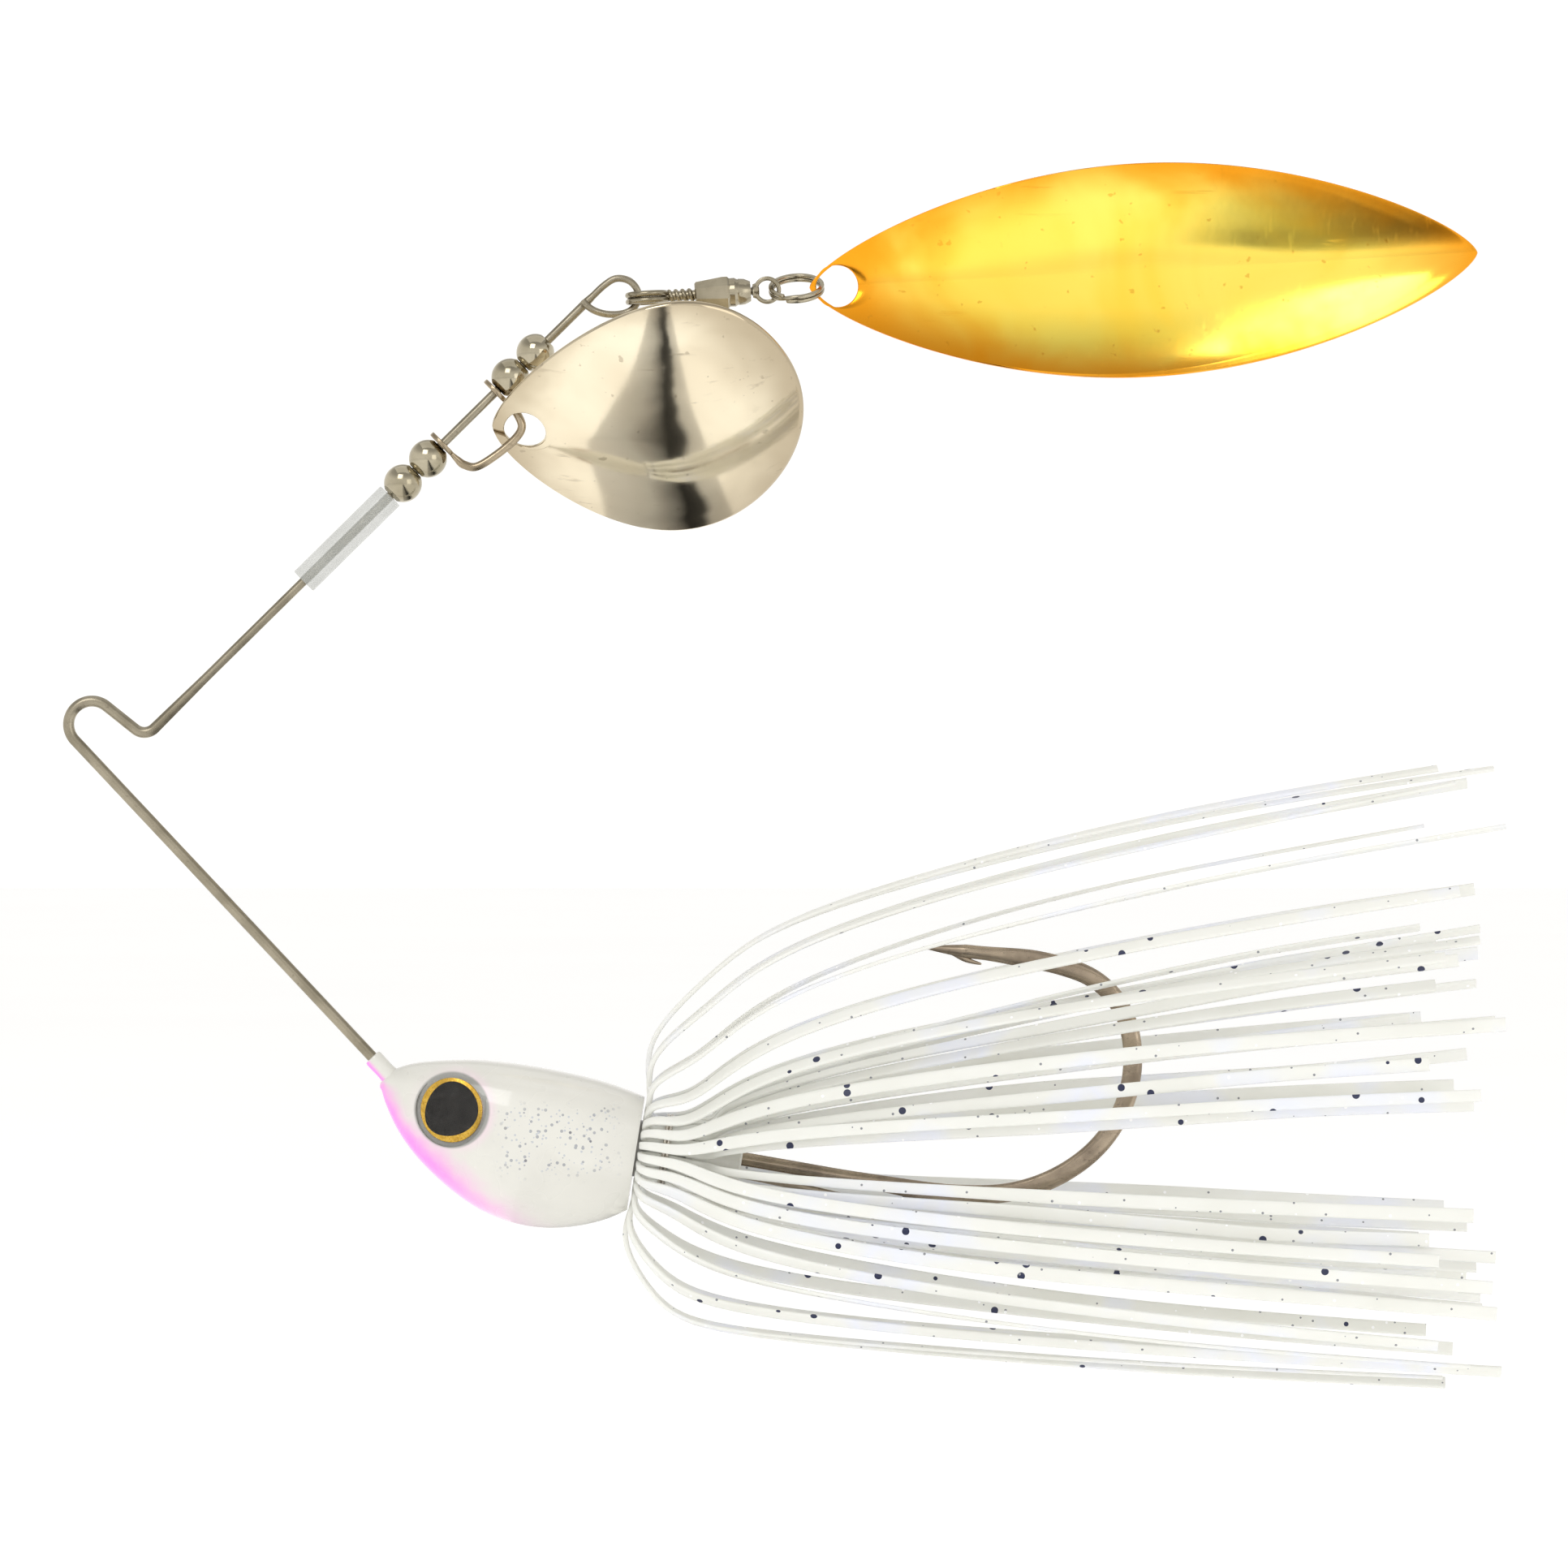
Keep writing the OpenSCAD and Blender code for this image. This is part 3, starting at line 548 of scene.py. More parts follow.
lowerEarAt = lowerInnerAt + stack["beadLength"] / 2 + stack["gap"] + stack["earThick"] / 2
upperEarAt = lowerEarAt + stack["earSpan"]
upperInnerAt = upperEarAt + stack["earThick"] / 2 + stack["gap"] + stack["beadLength"] / 2
upperOuterAt = upperInnerAt + stack["beadLength"] + stack["gap"]


def makeSleeve():
    bm = bmesh.new()
    section = roundedRing(stack["sleeveBore"], stack["sleeveWidth"] / 2, 0, stack["sleeveLength"], stack["soft"])
    spinProfile(bm, section, onArm @ along(stack["sleeveAt"]), 64)
    place("sleeve", bm, clearSilicone, "sleeve", ["wire_sleeve"])


def makeBead(name, node, at):
    radius, half, bore = stack["beadWidth"] / 2, stack["beadLength"] / 2, stack["bore"]
    edge = math.acos(half / radius)
    arc = [(radius * math.sin(a), -radius * math.cos(a)) for a in
           [edge + (math.pi - 2 * edge) * k / 30 for k in range(31)]]
    profile = arc + [(bore + 0.1, half), (bore, half - 0.1), (bore, 0.1 - half), (bore + 0.1, -half)]
    bm = bmesh.new()
    spinProfile(bm, profile, onArm @ along(at), 64)
    place(name, bm, metals["beadNickel"], node, [node], 50)


def makeClevis():
    bm = bmesh.new()
    half = stack["earThick"] / 2
    for at in (lowerEarAt, upperEarAt):
        spinProfile(bm, roundedRing(stack["earBore"], stack["earRadius"], -half, half, stack["soft"]),
                    onArm @ along(at), 56)
    bow = smoothLine(stack["bow"], 9)
    radius = stack["bowWidth"] / 2
    sizes, powers = [], []
    for i in range(len(bow)):
        flat = max(0.0, 1 - min(i, len(bow) - 1 - i) / 17) ** 1.5
        wide, thin = stack["bowFlat"]
        sizes.append((radius + (wide - radius) * flat, radius + (thin - radius) * min(1, flat * 1.3)))
        powers.append(1 - 0.4 * flat)
    foot = onArm @ along(lowerEarAt)
    sweepWire(bm, [foot @ Vector(p) for p in bow], sizes, power=powers, segments=24)
    place("clevis", bm, metals["clevisNickel"], "clevis", ["clevis"])


makeSleeve()
for beadName, beadNode, beadAt in (
        ("lowerOuterBead", "lower_outer_bead", lowerOuterAt), ("lowerInnerBead", "lower_inner_bead", lowerInnerAt),
        ("upperInnerBead", "upper_inner_bead", upperInnerAt), ("upperOuterBead", "upper_outer_bead", upperOuterAt)):
    makeBead(beadName, beadNode, beadAt)
makeClevis()
print("sleeve, beads and clevis made")


roundBlade = {"length": 26.2, "width": 23.0, "cup": 3.0, "peak": 1.36, "fullness": 0.49, "widest": 0.56,
              "lip": 2.65, "hole": 1.7, "thick": 0.45, "raised": 0.0}
leafBlade = {"length": 56.0, "width": 17.9, "cup": 2.4, "peak": 1.0, "fullness": 0.68, "widest": 0.5,
             "lip": 2.3, "hole": 1.75, "thick": 0.45, "raised": 0.45}


def makeBlade(name, blade, material, body, matrix, around=128, rings=44):
    length, width, thick = blade["length"], blade["width"], blade["thick"]
    mid = blade["widest"] * length - blade["lip"]
    reach = blade["widest"] * length
    holeHeight = blade["cup"] * (1 - (mid / reach) ** 2)

    def rimAt(a):
        t = (1 - math.cos(a)) / 2
        half = width / 2 * math.sin(math.pi * t ** blade["peak"]) ** blade["fullness"] if 0 < t < 1 else 0
        return Vector((t * length - blade["lip"], math.copysign(half, math.sin(a)) if half else 0))

    fine = [rimAt(math.tau * k / 1440) for k in range(1440)]
    angles = [(math.atan2(p.y, p.x - mid) % math.tau, math.hypot(p.x - mid, p.y)) for p in fine]
    angles.sort()

    def rimReach(angle):
        low, high = 0, len(angles) - 1
        angle %= math.tau
        while high - low > 1:
            m = (low + high) // 2
            if angles[m][0] <= angle:
                low = m
            else:
                high = m
        a, b = angles[low], angles[high]
        if b[0] == a[0]:
            return a[1]
        return a[1] + (b[1] - a[1]) * min(1, max(0, (angle - a[0]) / (b[0] - a[0])))

    def depth(p):
        f = min(1.0, math.hypot(p.x - mid, p.y) / rimReach(math.atan2(p.y, p.x - mid)))
        return holeHeight - blade["cup"] * (1 - f * f)

    # rings run from the hole over the front to the rim, then back over the rear to the hole
    turns = [math.tau * j / around for j in range(around)]
    holeRing = [blade["hole"] * Vector((-math.cos(a), math.sin(a))) for a in turns]
    rimRing = [rimAt(a) for a in turns]
    parts = [0.03 + 0.95 * (k / rings) ** 1.15 for k in range(rings + 1)] + [0.99]
    lift = blade["raised"]
    stops = []
    for f in parts:
        raised = min(lift * max(0.0, (f - 0.965) / 0.025), lift * 0.5)
        stops.append([(h.lerp(r, f), raised) for h, r in zip(holeRing, rimRing)])
    bm = bmesh.new()
    ring = first = newRing(bm, around)

    def setRing(places, shift, outward=0.0):
        for vert, (p, raised), r in zip(ring, places, rimRing):
            push = Vector((r.x - mid, r.y)).normalized() * outward
            vert.co = (p.x + push.x, depth(p) + shift - raised * 0.25, p.y + push.y)

    def holeStop(grow):
        return [(h * (1 + grow / blade["hole"]), 0.0) for h in holeRing]

    setRing(holeStop(0.1), 0.0)
    for places in stops:
        ring = nextRing(bm, ring)
        setRing(places, 0.0)
    rim = [(r, lift * 0.5) for r in rimRing]
    for shift, outward in ((0.05, 0.0), (0.13, 0.05), (thick / 2, 0.08), (thick - 0.13, 0.05),
                           (thick - 0.05, 0.0)):
        ring = nextRing(bm, ring)
        setRing(rim, shift, outward - 0.05)
    for places in reversed(stops):
        ring = nextRing(bm, ring)
        setRing(places, thick)
    for grow, shift in ((0.1, thick), (0.03, thick - 0.04), (0.0, thick - 0.12), (0.0, 0.12), (0.03, 0.04)):
        ring = nextRing(bm, ring)
        setRing(holeStop(grow), shift)
    bmesh.ops.bridge_loops(bm, edges=ringEdges(bm, ring) + ringEdges(bm, first))
    bmesh.ops.transform(bm, matrix=matrix @ Matrix.Translation((0, -thick / 2, 0)), verts=bm.verts)
    place(name, bm, material, body, [body], 50)


makeBlade("roundBlade", roundBlade, nickelBlade, "round_blade",
          Matrix.Translation((36.3, -0.4, 24.6)) @ turned("Z", 5) @ turned("Y", -3) @ turned("X", 36))
makeBlade("leafBlade", leafBlade, goldBlade, "leaf_blade",
          Matrix.Translation((62.45, 0, 36.7)) @ turned("Y", -3) @ Matrix.Scale(-1, 4, (0, 1, 0)), 160, 56)
print("blades made")


swivel = {
    "barrelSides": 8, "loopRadius": 1.6, "loopHalf": 0.26, "loopApart": 0.27,
    "coilRadius": 0.4, "coilHalf": 0.19, "coilTurns": 4.0, "coilFrom": 3.15, "coilLength": 2.25,
    "ringAt": 11.97, "ringRadius": 2.15, "ringHalf": (0.175, 0.2), "ringStep": 0.37, "ringLean": 28,
    "stemEyeAt": 11.67, "stemEye": 0.8, "stemEyeOuter": 1.16, "stemEyeHalf": 0.25,
    # profiles of radius and height along the swivel
    "barrelRear": [(0.0, 5.6), (0.98, 5.6), (1.12, 5.72), (1.3, 7.0), (1.43, 7.9), (1.43, 8.35), (1.16, 8.62),
                   (0.0, 8.62)],
    "barrelFront": [(0.0, 8.5), (1.2, 8.5), (1.22, 8.95), (1.12, 9.12), (1.08, 9.2), (1.12, 9.3), (1.08, 9.75),
                    (0.95, 10.05), (0.84, 10.27), (0.35, 10.3), (0.35, 9.3), (0.0, 9.3)],
    "shank": [(0.0, 2.92), (0.42, 2.92), (0.4, 5.5), (0.44, 5.62), (0.44, 6.5), (0.0, 6.5)],
    "stem": [(0.0, 8.3), (0.78, 8.3), (0.8, 8.36), (0.8, 8.6), (0.3, 8.66), (0.3, 10.5), (0.0, 10.5)],
    # height, and half the width and depth, where the stem widens into its eye
    "neck": [(10.32, 0.52, 0.5), (10.45, 0.55, 0.56), (10.6, 0.4, 0.62), (10.8, 0.3, 0.7), (11.0, 0.26, 0.6)],
}


def makeSwivel():
    # barrel: a faceted rear and a round, necked front
    bm = bmesh.new()
    halfFacet = 180 / swivel["barrelSides"]
    spinProfile(bm, swivel["barrelRear"], onSwivel @ turned("Z", halfFacet), swivel["barrelSides"], False)
    spinProfile(bm, swivel["barrelFront"], onSwivel, 48, False)
    place("swivelBarrel", bm, metals["smallNickel"], "swivel", ["swivel_barrel"], 25)

    # loop: two turns of wire side by side, a straight shank, and the end wound round it
    bm = bmesh.new()
    radius = swivel["loopRadius"]
    for side in (-swivel["loopApart"], swivel["loopApart"]):
        spinProfile(bm, wireSection(radius, swivel["loopHalf"]),
                    onSwivel @ Matrix.Translation((side, 0, radius)) @ turned("Y", 90), 56)
    spinProfile(bm, swivel["shank"], onSwivel, 32, False)
    steps = 96
    coil = []
    for k in range(steps + 1):
        a = math.tau * swivel["coilTurns"] * k / steps
        height = swivel["coilFrom"] + swivel["coilLength"] * k / steps
        coil.append(onSwivel @ Vector((swivel["coilRadius"] * math.cos(a), swivel["coilRadius"] * math.sin(a), height)))
    sweepWire(bm, coil, [(swivel["coilHalf"],) * 2], [axisOf(onSwivel)], 12)
    place("swivelLoop", bm, metals["smallNickel"], "swivel", ["swivel_loop"])

    bm = bmesh.new()
    spinProfile(bm, swivel["stem"], onSwivel, 32, False)
    neck = [onSwivel @ Vector((0, 0, height)) for height, wide, deep in swivel["neck"]]
    sizes = [(wide, deep) for height, wide, deep in swivel["neck"]]
    sweepWire(bm, neck, sizes, [onSwivel.to_3x3() @ Vector((0, 1, 0))], 24)
    half = swivel["stemEyeHalf"]
    spinProfile(bm, roundedRing(swivel["stemEye"], swivel["stemEyeOuter"], -half, half, 0.12),
                onSwivel @ along(swivel["stemEyeAt"]) @ turned("X", 90), 48)
    place("swivelStem", bm, metals["smallNickel"], "swivel_stem", ["swivel_stem"])

    # split ring: one flat wire wound twice, its two ends stepping past each other
    bm = bmesh.new()
    radius = swivel["ringRadius"]
    matrix = onSwivel @ along(swivel["ringAt"] + radius) @ turned("Y", 90) @ turned("X", -swivel["ringLean"])
    path = []
    steps, wound = 144, 715
    for k in range(steps + 1):
        a = math.radians(-60 + wound * k / steps)
        step = min(1, max(0, (wound * k / steps - 330) / 60))
        step = step * step * (3 - 2 * step)
        path.append(matrix @ Vector((radius * math.cos(a), radius * math.sin(a), swivel["ringStep"] * (step - 0.5))))
    sweepWire(bm, path, [swivel["ringHalf"]], [axisOf(matrix)], 14, (0.75,))
    place("splitRing", bm, metals["smallNickel"], "split_ring", ["split_ring"])


makeSwivel()
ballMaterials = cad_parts["swivel_balls"].data.materials
ballMaterials.clear()
ballMaterials.append(metals["bearingSteel"])
print("swivel and split ring made")


head = {
    # x, top, bottom and half the width of each station
    "stations": [(24.15, -30.15, -30.45, 0.1), (24.3, -29.85, -30.75, 0.4), (24.7, -29.3, -32, 1),
                 (25.7, -28.75, -34.1, 1.8), (27.2, -28.35, -36.2, 2.65), (29.4, -28.15, -38.4, 3.55),
                 (32, -28.1, -40.35, 4.25), (34.6, -28.3, -41.55, 4.65), (37.4, -28.7, -42.15, 4.75),
                 (40.2, -29.25, -42.1, 4.6), (43, -29.95, -41.5, 4.2), (45.4, -30.8, -40.4, 3.75),
                 (48, -31.9, -38.9, 3.3)],
    "square": 0.84, "around": 96, "neckFrom": 36.4, "rearAt": -2.45,
    # profiles of radius and height
    "neck": [(0.0, 0), (0.62, 0), (0.74, 0.06), (0.8, 0.25), (0.78, 1.6), (0.86, 2.5), (1.1, 3.2), (1.2, 3.6),
             (0.0, 3.6)],
    "collar": [(0, -4), (2.4, -4), (2.4, 1.5), (3.05, 1.75), (3.05, 2.3), (2.3, 2.7), (1.75, 4.4), (1.6, 6.25),
               (1.45, 6.4), (0, 6.4)],
}
inEye = Matrix.Translation(eye["center"]) @ turned("Z", -eye["yaw"]) @ turned("X", 90)
flipY = Matrix.Scale(-1, 4, (0, 1, 0))


def cutter(matrix):
    # a plain round plug that cuts an eye's socket
    bm = bmesh.new()
    radius, height = eye["width"] / 2 + eye["gap"], eye["width"]
    spinProfile(bm, [(0, 0), (radius, 0), (radius, height), (0, height)], matrix, 72, False)
    bmesh.ops.recalc_face_normals(bm, faces=bm.faces)
    mesh = bpy.data.meshes.new("plug")
    bm.to_mesh(mesh)
    bm.free()
    plug = bpy.data.objects.new("plug", mesh)
    bpy.context.scene.collection.objects.link(plug)
    return plug


def makeHead():
    bm = bmesh.new()
    stations = smoothLine(head["stations"], 6)
    count = head["around"]
    ring = first = None
    for x, top, bottom, half in stations:
        if ring is None:
            ring = first = newRing(bm, count)
        else:
            ring = nextRing(bm, ring)
        for j, vert in enumerate(ring):
            a = math.tau * j / count
            vert.co = (x, half * bulge(math.cos(a), head["square"]),
                       (top + bottom) / 2 - (top - bottom) / 2 * bulge(math.sin(a), head["square"]))
    closeRing(bm, first)
    closeRing(bm, ring)
    # square off the rear at the collar
    rear = onCollar @ Vector((0, 0, head["rearAt"]))
    cut = bmesh.ops.bisect_plane(bm, geom=bm.verts[:] + bm.edges[:] + bm.faces[:], dist=0.0001, plane_co=rear,
                                 plane_no=axisOf(onCollar), clear_outer=True)
    bmesh.ops.edgeloop_fill(bm, edges=[e for e in cut["geom_cut"] if isinstance(e, bmesh.types.BMEdge)])
    bmesh.ops.recalc_face_normals(bm, faces=bm.faces)
    mesh = bpy.data.meshes.new("headBlank")
    bm.to_mesh(mesh)
    bm.free()
    blank = bpy.data.objects.new("headBlank", mesh)
    bpy.context.scene.collection.objects.link(blank)
    plugs = [cutter(inEye), cutter(flipY @ inEye)]
    for plug in plugs:
        cutting = blank.modifiers.new("socket", "BOOLEAN")
        cutting.operation = "DIFFERENCE"
        cutting.solver = "EXACT"
        cutting.object = plug
    bpy.context.view_layer.update()
    ready = bpy.data.meshes.new_from_object(blank.evaluated_get(bpy.context.evaluated_depsgraph_get()))
    for item in [blank] + plugs:
        bpy.data.objects.remove(item)
    bm = bmesh.new()
    bm.from_mesh(ready)
    # the painted neck on the wire, and the collar under the skirt
    spinProfile(bm, head["neck"], onLeg @ along(head["neckFrom"]), 40, False)
    spinProfile(bm, head["collar"], onCollar, 64, False)
    place("headCasting", bm, headPearl, "head_and_wire", ["head_casting"], 40)


def makeEye(side, flip):
    matrix = flip @ inEye
    bm = bmesh.new()
    radius = eye["discWidth"] / 2
    low, high = eye["discFrom"], eye["discTo"]
    profile = [(0, low), (radius, low), (radius, high - 0.04), (radius - 0.05, high), (0, high)]
    spinProfile(bm, profile, matrix, 72, False)
    place(side + "EyeDisc", bm, eyeFoil, "head_and_wire", [side + "_eye_disc"])

    # egg-shaped pupil, a thin layer that leans with its small end to the front
    bm = bmesh.new()
    count = 64
    ring = first = newRing(bm, count)
    base = high + 0.005
    onPupil = turned("Z", eye["pupilLean"])
    for height, shrink in ((base, 1.0), (base + 0.03, 1.0), (base + 0.045, 0.97)):
        if height > base:
            ring = nextRing(bm, ring)
        for j, vert in enumerate(ring):
            a = math.tau * j / count
            long = eye["pupilLong"] * math.cos(a) * shrink
            wide = eye["pupilWide"] * math.sin(a) * shrink * (1 - eye["pupilTaper"] * math.cos(a))
            vert.co = onPupil @ Vector((long, wide, height)) + Vector((eye["pupilShift"], 0, 0))
    closeRing(bm, first)
    closeRing(bm, ring)
    bmesh.ops.transform(bm, matrix=matrix, verts=bm.verts)
    place(side + "EyePupil", bm, eyePupil, "head_and_wire")

    bm = bmesh.new()
    radius, curve, floor = eye["width"] / 2, eye["width"] * eye["domeCurve"], eye["domeFrom"]
    peak = floor + eye["domeHeight"]
    leans = [math.asin((radius - 0.06) / curve) * (1 - k / 20) for k in range(21)]
    top = [(curve * math.sin(a), peak - curve + curve * math.cos(a)) for a in leans]
    profile = [(0, floor), (radius - 0.04, floor), (radius, floor + 0.05), (radius, top[0][1] - 0.03)]
    profile += top[:-1] + [(0, top[-1][1])]
    spinProfile(bm, profile, matrix, 72, False)
    place(side + "EyeDome", bm, eyeResin, "head_and_wire", [side + "_eye_dome"])


makeHead()
makeEye("near", Matrix.Identity(4))
makeEye("far", flipY)
print("head and eyes made")


hook = {
    "heading": -9.8, "shankLength": 26.5, "eyeAt": 43.4, "eyeRadius": 1.35, "eyeHalf": 0.48,
    # each move is length, turn in degrees, chords
    "moves": [(0.4, 0, 1), (13.1, -0.6, 3), (6.6, 11.4, 4), (9.1, 38, 7), (12, 64, 9), (6.8, 57, 7), (4.4, 12, 3),
              (5.2, 2.5, 3), (3.6, 0, 4)],
    "finer": 4, "round": (0.5, 0.58), "forgedMore": (0.02, 0.22), "forgeFrom": 33, "forgeOver": 9, "forgeLeft": 4.5,
    "forgeOut": 5, "pointLength": 3.4, "barb": [(-1.7, 0, 0.12), (-0.9, 0, -0.18), (0.1, 0, -0.72), (1.35, 0, -1.08)],
}
keeper = {"width": 0.64, "start": atXz(51.2, -37.12), "heading": -11,
          "moves": [(3.3, 0, 1), (8.2, -2.5, 3), (1.9, -5, 2), (1.1, -36, 4), (0.9, 0, 2)]}
tieWire = {"innerRadius": 2.96, "width": 0.32, "from": -0.34, "length": 0.68, "wound": 790, "tailLength": 2.6,
           "tailTurns": 3.2, "tailHalf": 0.12, "tailApart": 0.13, "tailAt": 100}


def makeHook():
    shankStart = legFoot + hook["eyeAt"] * legWay + hook["eyeRadius"] * Vector((-legWay.z, 0, legWay.x))
    shankWay = heading(hook["heading"])
    shankEnd = shankStart + hook["shankLength"] * shankWay
    bend = walkLine(shankEnd - hook["moves"][0][0] * shankWay, hook["heading"], hook["moves"], hook["finer"])
    path = [shankStart, shankStart + 12 * shankWay] + bend[1:]
    lengths = [0.0]
    for a, b in zip(path, path[1:]):
        lengths.append(lengths[-1] + (b - a).length)
    total = lengths[-1]
    sizes, powers = [], []
    for s in lengths:
        left = total - s
        forge = (min(1, max(0, (s - hook["forgeFrom"]) / hook["forgeOver"]))
                 * min(1, max(0, (left - hook["forgeLeft"]) / hook["forgeOut"])))
        forge = forge * forge * (3 - 2 * forge)
        half = tuple(size + more * forge for size, more in zip(hook["round"], hook["forgedMore"]))
        if left < hook["pointLength"]:
            point = 0.12 + 0.88 * (left / hook["pointLength"]) ** 0.8
            half = (half[0] * point * 0.95, half[1] * point * 0.95)
        sizes.append(half)
        powers.append(1 - 0.38 * forge)
    bm = bmesh.new()
    sweepWire(bm, path, sizes, power=powers, segments=28)
    spinProfile(bm, wireSection(hook["eyeRadius"], hook["eyeHalf"]), onLeg @ along(hook["eyeAt"]), 40)
    # the barb is raised from the inner side and points back down the hook
    base = bend[-1 - 4 * hook["finer"]]
    barb = smoothLine([(base + Vector(p))[:] for p in hook["barb"]], 6)
    barbSizes = []
    for k in range(19):
        t = k / 18
        barbSizes.append((0.24 - 0.16 * t, 0.16 + 0.14 * math.sin(math.pi * t) - 0.08 * t))
    sweepWire(bm, [Vector(p) for p in barb], barbSizes, segments=14, power=(0.8,))
    place("hook", bm, metals["forgedHook"], "head_and_wire", ["hook"])

    bm = bmesh.new()
    path = walkLine(keeper["start"], keeper["heading"], keeper["moves"], hook["finer"])
    sweepWire(bm, path, [(keeper["width"] / 2,) * 2], segments=20)
    place("trailerKeeper", bm, metals["keeperSteel"], "head_and_wire", ["trailer_keeper"])


def makeTieWire():
    half = tieWire["width"] / 2
    radius = tieWire["innerRadius"] + half
    bm = bmesh.new()
    path = []
    for k in range(181):
        t = k / 180
        a = math.radians(60 + tieWire["wound"] * t)
        height = tieWire["from"] + tieWire["length"] * t
        path.append(onCollar @ Vector((radius * math.cos(a), radius * math.sin(a), height)))
    sweepWire(bm, path, [(half, half)], [axisOf(onCollar)], 14)
    # both ends twisted together and laid back along the far side
    onTail = onCollar @ turned("Z", tieWire["tailAt"])
    apart = tieWire["tailApart"]
    for phase in (0, math.pi):
        tail = []
        for k in range(49):
            t = k / 48
            a = phase + math.tau * tieWire["tailTurns"] * t
            outward = radius + 0.25 + apart * math.cos(a) + 0.3 * t
            tail.append(onTail @ Vector((outward, apart * math.sin(a), 0.4 + tieWire["tailLength"] * t)))
        sweepWire(bm, tail, [(tieWire["tailHalf"],) * 2], segments=10)
    place("tieWire", bm, metals["tieSteel"], "head_and_wire", ["skirt_tie_wire"])


makeHook()
makeTieWire()
print("hook, keeper and tie wire made")


skirt = {
    "strands": 28, "width": 1.15, "neck": 0.31, "thick": 0.34, "neckThick": 0.24, "innerSteps": 8, "outerSteps": 9,
    "finer": 4, "twist": 48, "seed": 11, "easing": 34, "underTie": 12.5, "lowerBillow": 0.74,
    # where the ends lie, straight out, and how far up and down they fan
    "outerEnd": {"x": 115, "spread": 11.5, "upper": (-32.6, 29.4, 1.25), "lower": (-42.6, 12.4, 1)},
    "innerEnd": {"x": 114, "spread": 6.8, "least": 2.7, "upper": (-33.5, 16.5, 1), "lower": (-39.8, 8.5, 1)},
    # radius and place along the collar, and what a full billow adds to them
    "fold": [(3.5, 2.1, 0, 0), (2.95, 1, 0, 0), (2.69, 0.3, 0, 0), (2.69, -0.9, 0, 0), (2.85, -1.6, 0.1, 0),
             (3.4, -2, 0.1, 0), (4.1, -2, 0.5, 0), (4.6, -1.85, 1.4, -0.4), (4.9, -1.4, 2.9, -1.8),
             (5, -0.8, 4.8, -2.1), (5.05, 0, 7, -1.4), (5.1, 0.9, 9.2, -0.8)],
}


def byCollar(r, az, distance):
    # a point at a radius, an angle about the collar and a distance along it
    s, c = math.sin(az), math.cos(az)
    way, across = heading(-collar["tilt"]), heading(90 - collar["tilt"])
    return collar["center"] + distance * way + r * s * across + Vector((0, r * c, 0))


def wave(i, rate):
    return math.sin(math.radians(rate * i))


def tailLine(start, tip, ease, sideEase, steps, sway):
    line = []
    for i in range(steps + 1):
        t = (i / steps) ** 1.7
        drift = math.sin(math.pi * min(1, t)) * t
        sideways = sway[0] * drift * math.sin(5 * t + sway[2])
        upward = sway[1] * drift * math.sin(4 * t + sway[3])
        line.append(Vector((start.x + (tip.x - start.x) * t,
                            start.y + (tip.y - start.y) * t ** sideEase + sideways,
                            start.z + (tip.z - start.z) * t ** ease + upward)))
    return line


def endHeight(end, up):
    level, fan, power = end["upper"] if up > 0 else end["lower"]
    return level + fan * math.copysign(abs(up) ** power, up)


def strandLine(i, chance):
    az = math.tau * (i + 0.5) / skirt["strands"]
    up, out = math.sin(az), math.cos(az)
    billow = abs(up) ** 5 * (1 if up > 0 else skirt["lowerBillow"])
    end = skirt["outerEnd"]
    outer = Vector((end["x"] + 3 * wave(i, 250), out * end["spread"] + 0.3 * wave(i, 61),
                    endHeight(end, up) + 0.4 * wave(i, 97)))
    end = skirt["innerEnd"]
    inner = Vector((end["x"] + 3 * wave(i, 140),
                    math.copysign(end["least"] + end["spread"] * abs(out), out) + 0.1 * wave(i, 75),
                    endHeight(end, up) + 0.15 * wave(i, 115)))
    sways = [[chance.uniform(low, high) for low, high in ((-0.5, 0.5), (-0.9, 0.9), (0, 6), (0, 6))]
             for _ in range(2)]
    first = tailLine(byCollar(3.62, az, 3.4), inner, 0.62, 0.34, skirt["innerSteps"], sways[0])[::-1]
    fold = [byCollar(r + billow * more, az, d + billow * further) for r, d, more, further in skirt["fold"]]
    last = tailLine(byCollar(5.3 + 11.6 * billow, az, 2.4), outer, 0.5 + 0.12 * billow, 0.42,
                    skirt["outerSteps"], sways[1])
    return az, first + fold + last


def strandSize(k):
    # half the width and thickness at a point, narrow under the tie
    free = min(1.0, max(0.0, abs(k - skirt["underTie"]) - 1.5) / 8)
    spread = free ** (3.0 if k < skirt["underTie"] else 1.7)
    neck, neckThick = skirt["neck"], skirt["neckThick"]
    return (neck + (skirt["width"] / 2 - neck) * spread, neckThick + (skirt["thick"] / 2 - neckThick) * free)


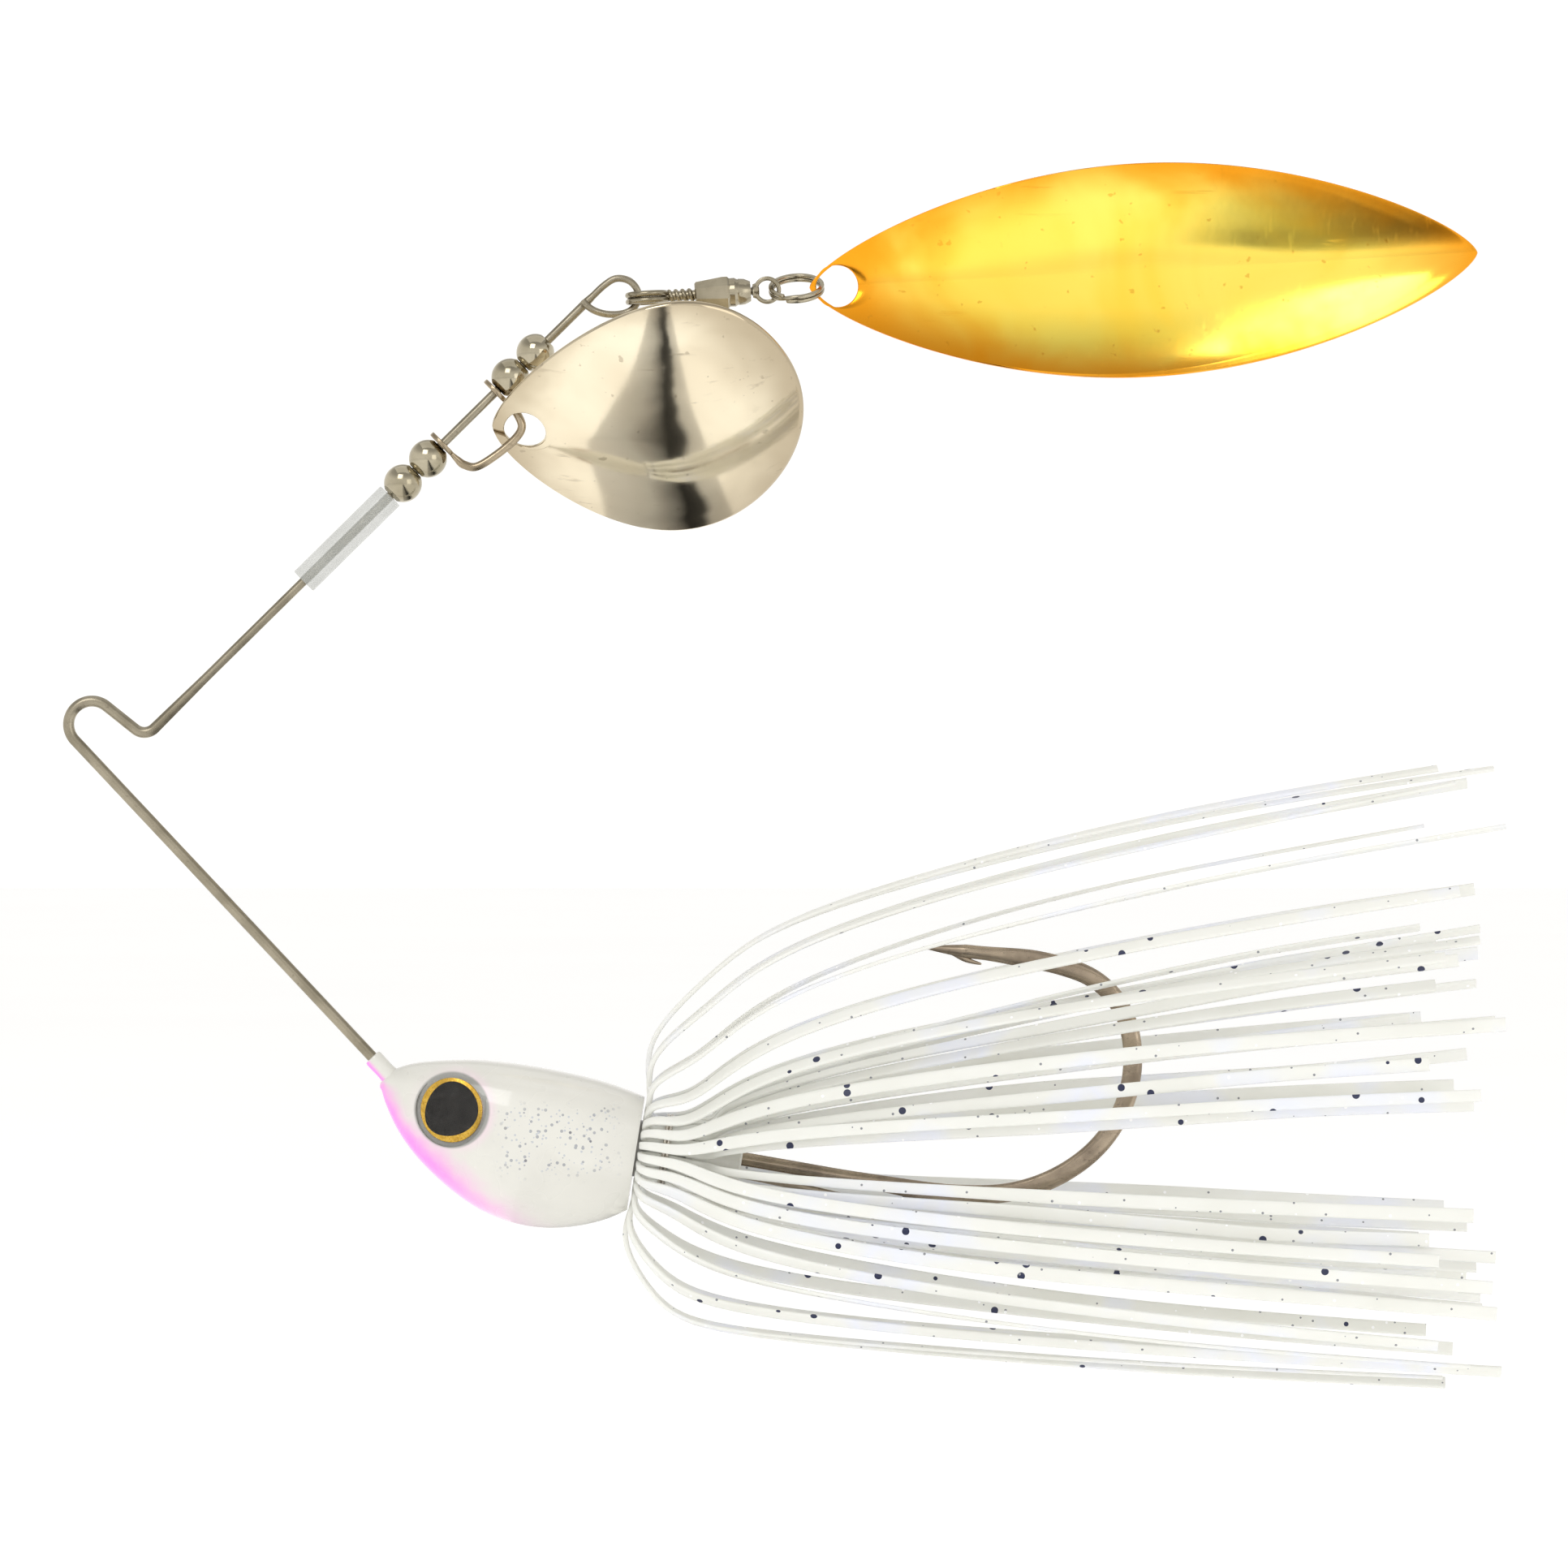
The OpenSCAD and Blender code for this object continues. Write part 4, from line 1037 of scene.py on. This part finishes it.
def makeStrands(name, node, firstStrand):
    bm = bmesh.new()
    for n in range(skirt["strands"] // 4):
        i = (firstStrand + n) % skirt["strands"]
        chance = random.Random(skirt["seed"] * 100 + i)
        az, points = strandLine(i, chance)
        path = [Vector(p) for p in smoothLine([p[:] for p in points], skirt["finer"])]
        middle = skirt["underTie"]
        soft = int((middle + 3) * skirt["finer"])  # past the tie the silicone eases every corner
        for _ in range(skirt["easing"]):
            near = zip(path[soft - 1:], path[soft:], path[soft + 1:])
            path[soft:-1] = [(a + 2 * b + c) / 4 for a, b, c in near]
        twists = [chance.uniform(-skirt["twist"], skirt["twist"]) for _ in range(2)]
        widths = [chance.uniform(0.86, 1.05) for _ in range(2)]
        sizes, sides = [], []
        around = Vector((0, -math.sin(az), math.cos(az)))
        out = Vector((0, math.cos(az), math.sin(az)))
        for j in range(len(path)):
            k = j / skirt["finer"]
            tail = 0 if k < middle else 1
            free = min(1.0, max(0.0, abs(k - middle) - 4.5) / 11)
            half = strandSize(k)
            sizes.append((half[0] * (1 + (widths[tail] - 1) * free), half[1]))
            angle = math.radians(twists[tail] * free)
            sides.append(around * math.cos(angle) + out * math.sin(angle))
        sweepWire(bm, path, sizes, sides, 12, (0.45,), False)
    place(name, bm, skirtSilicone, "head_and_wire", [node], 60)


for strandName, strandNode, strandFirst in (
        ("upperStrands", "upper_skirt_strands", 4), ("nearStrands", "near_skirt_strands", 11),
        ("lowerStrands", "lower_skirt_strands", 18), ("farStrands", "far_skirt_strands", 25)):
    makeStrands(strandName, strandNode, strandFirst)
print("skirt made")


studio = {
    "floorHeight": -0.085, "floorSize": 6.0, "lens": 200, "sensor": 36, "frameWidth": 0.1314,
    "center": atXz(0.058, -0.005), "worldLight": 1.1, "lookAt": Vector((0.06, 0.05, 0)),
    # place, size and power
    "lights": {"keyLight": ((-0.15, -0.55, 0.5), 0.35, 1.2), "fillLight": ((0.45, -0.5, 0.1), 0.3, 0.3),
               "topLight": ((0.06, 0.1, 0.6), 0.7, 0.8)},
    "card": {"x": (0.026, 0.088), "y": (-0.55, 0.1), "height": -0.07},
    # tones of the card from its left to its right, and of the sky from straight down to straight up
    "cardTones": [(0.0, 0.75), (0.3, 0.5), (0.58, 0.02), (0.72, 0.05), (0.8, 0.6), (1.0, 0.8)],
    "skyTones": [(0.0, 0.95), (0.46, 1.0), (0.56, 1.0), (0.7, 0.95), (0.84, 0.55), (1.0, 0.4)],
}


def setStage(name, bm, material):
    mesh = bpy.data.meshes.new(name)
    bm.to_mesh(mesh)
    bm.free()
    mesh.materials.append(material)
    thing = bpy.data.objects.new(name, mesh)
    bpy.context.scene.collection.objects.link(thing)
    return thing


def makeFloor():
    bm = bmesh.new()
    bmesh.ops.create_grid(bm, x_segments=8, y_segments=8, size=studio["floorSize"])
    bmesh.ops.translate(bm, verts=bm.verts, vec=(0, 0, studio["floorHeight"]))
    paper = Finish("paper")
    paper.put(IOR=1.3, Roughness=1.0, Emission_Strength=0.35)
    grain = paper.span(paper.noise(6.0, 2.0), 0.3, 0.7)
    paper.colour(paper.mix(grain, (0.93, 0.93, 0.925), (0.91, 0.91, 0.905)))
    setStage("floor", bm, paper.material)


def makeCard():
    # a shaded card near the floor that only shows as a reflection in the metal
    card = studio["card"]
    (left, right), (front, back) = card["x"], card["y"]
    bm = bmesh.new()
    bmesh.ops.create_grid(bm, x_segments=1, y_segments=1, size=0.5)
    bmesh.ops.translate(bm, verts=bm.verts, vec=(0.5, 0.5, 0))
    bmesh.ops.scale(bm, vec=(right - left, back - front, 1), verts=bm.verts)
    bmesh.ops.translate(bm, verts=bm.verts, vec=(left, front, card["height"]))
    felt = Finish("card")
    felt.put(Roughness=1.0, IOR=1.2)
    split = felt.add("ShaderNodeSeparateXYZ")
    felt.link(felt.place.outputs["Object"], split.inputs["Vector"])
    drift = felt.span(felt.noise(22.0, 2.0), 0.3, 0.7, -0.004, 0.004)
    across = felt.span(felt.sum("ADD", split.outputs["X"], drift), left, right)
    felt.colour(felt.ramp(across, [(at, (tone,) * 3) for at, tone in studio["cardTones"]]))
    shade = setStage("card", bm, felt.material)
    shade.visible_camera = shade.visible_diffuse = shade.visible_shadow = shade.visible_transmission = False


def makeSky():
    world = bpy.data.worlds.new("studio")
    bpy.context.scene.world = world
    world.use_nodes = True
    tree = world.node_tree
    sky = tree.nodes.new("ShaderNodeValToRGB")
    while len(sky.color_ramp.elements) < len(studio["skyTones"]):
        sky.color_ramp.elements.new(0.5)
    for element, (at, tone) in zip(sky.color_ramp.elements, studio["skyTones"]):
        element.position = at
        element.color = (tone, tone * 0.99, tone * 0.97, 1)
    way = tree.nodes.new("ShaderNodeTexCoord")
    parts = tree.nodes.new("ShaderNodeSeparateXYZ")
    level = tree.nodes.new("ShaderNodeMapRange")
    level.inputs["From Min"].default_value = -1
    background = tree.nodes["Background"]
    tree.links.new(way.outputs["Generated"], parts.inputs["Vector"])
    tree.links.new(parts.outputs["Z"], level.inputs["Value"])
    tree.links.new(level.outputs["Result"], sky.inputs["Fac"])
    tree.links.new(sky.outputs["Color"], background.inputs["Color"])
    background.inputs["Strength"].default_value = studio["worldLight"]


def makeLights():
    for name, (spot, size, power) in studio["lights"].items():
        light = bpy.data.lights.new(name, "AREA")
        light.size = size
        light.energy = power
        lamp = bpy.data.objects.new(name, light)
        lamp.location = spot
        lamp.rotation_euler = (studio["lookAt"] - Vector(spot)).to_track_quat("-Z", "Y").to_euler()
        bpy.context.scene.collection.objects.link(lamp)


def makeCamera():
    # straight on from the near side
    camera = bpy.data.cameras.new("camera")
    camera.lens = studio["lens"]
    camera.sensor_width = studio["sensor"]
    camera.clip_start, camera.clip_end = 0.01, 20
    holder = bpy.data.objects.new("camera", camera)
    distance = studio["frameWidth"] * studio["lens"] / studio["sensor"]
    holder.location = studio["center"] - Vector((0, distance, 0))
    holder.rotation_euler = (math.pi / 2, 0, 0)
    bpy.context.scene.collection.objects.link(holder)
    bpy.context.scene.camera = holder
    bpy.context.scene.view_settings.view_transform = "Standard"


makeFloor()
makeCard()
makeSky()
makeLights()
makeCamera()
print("studio made")
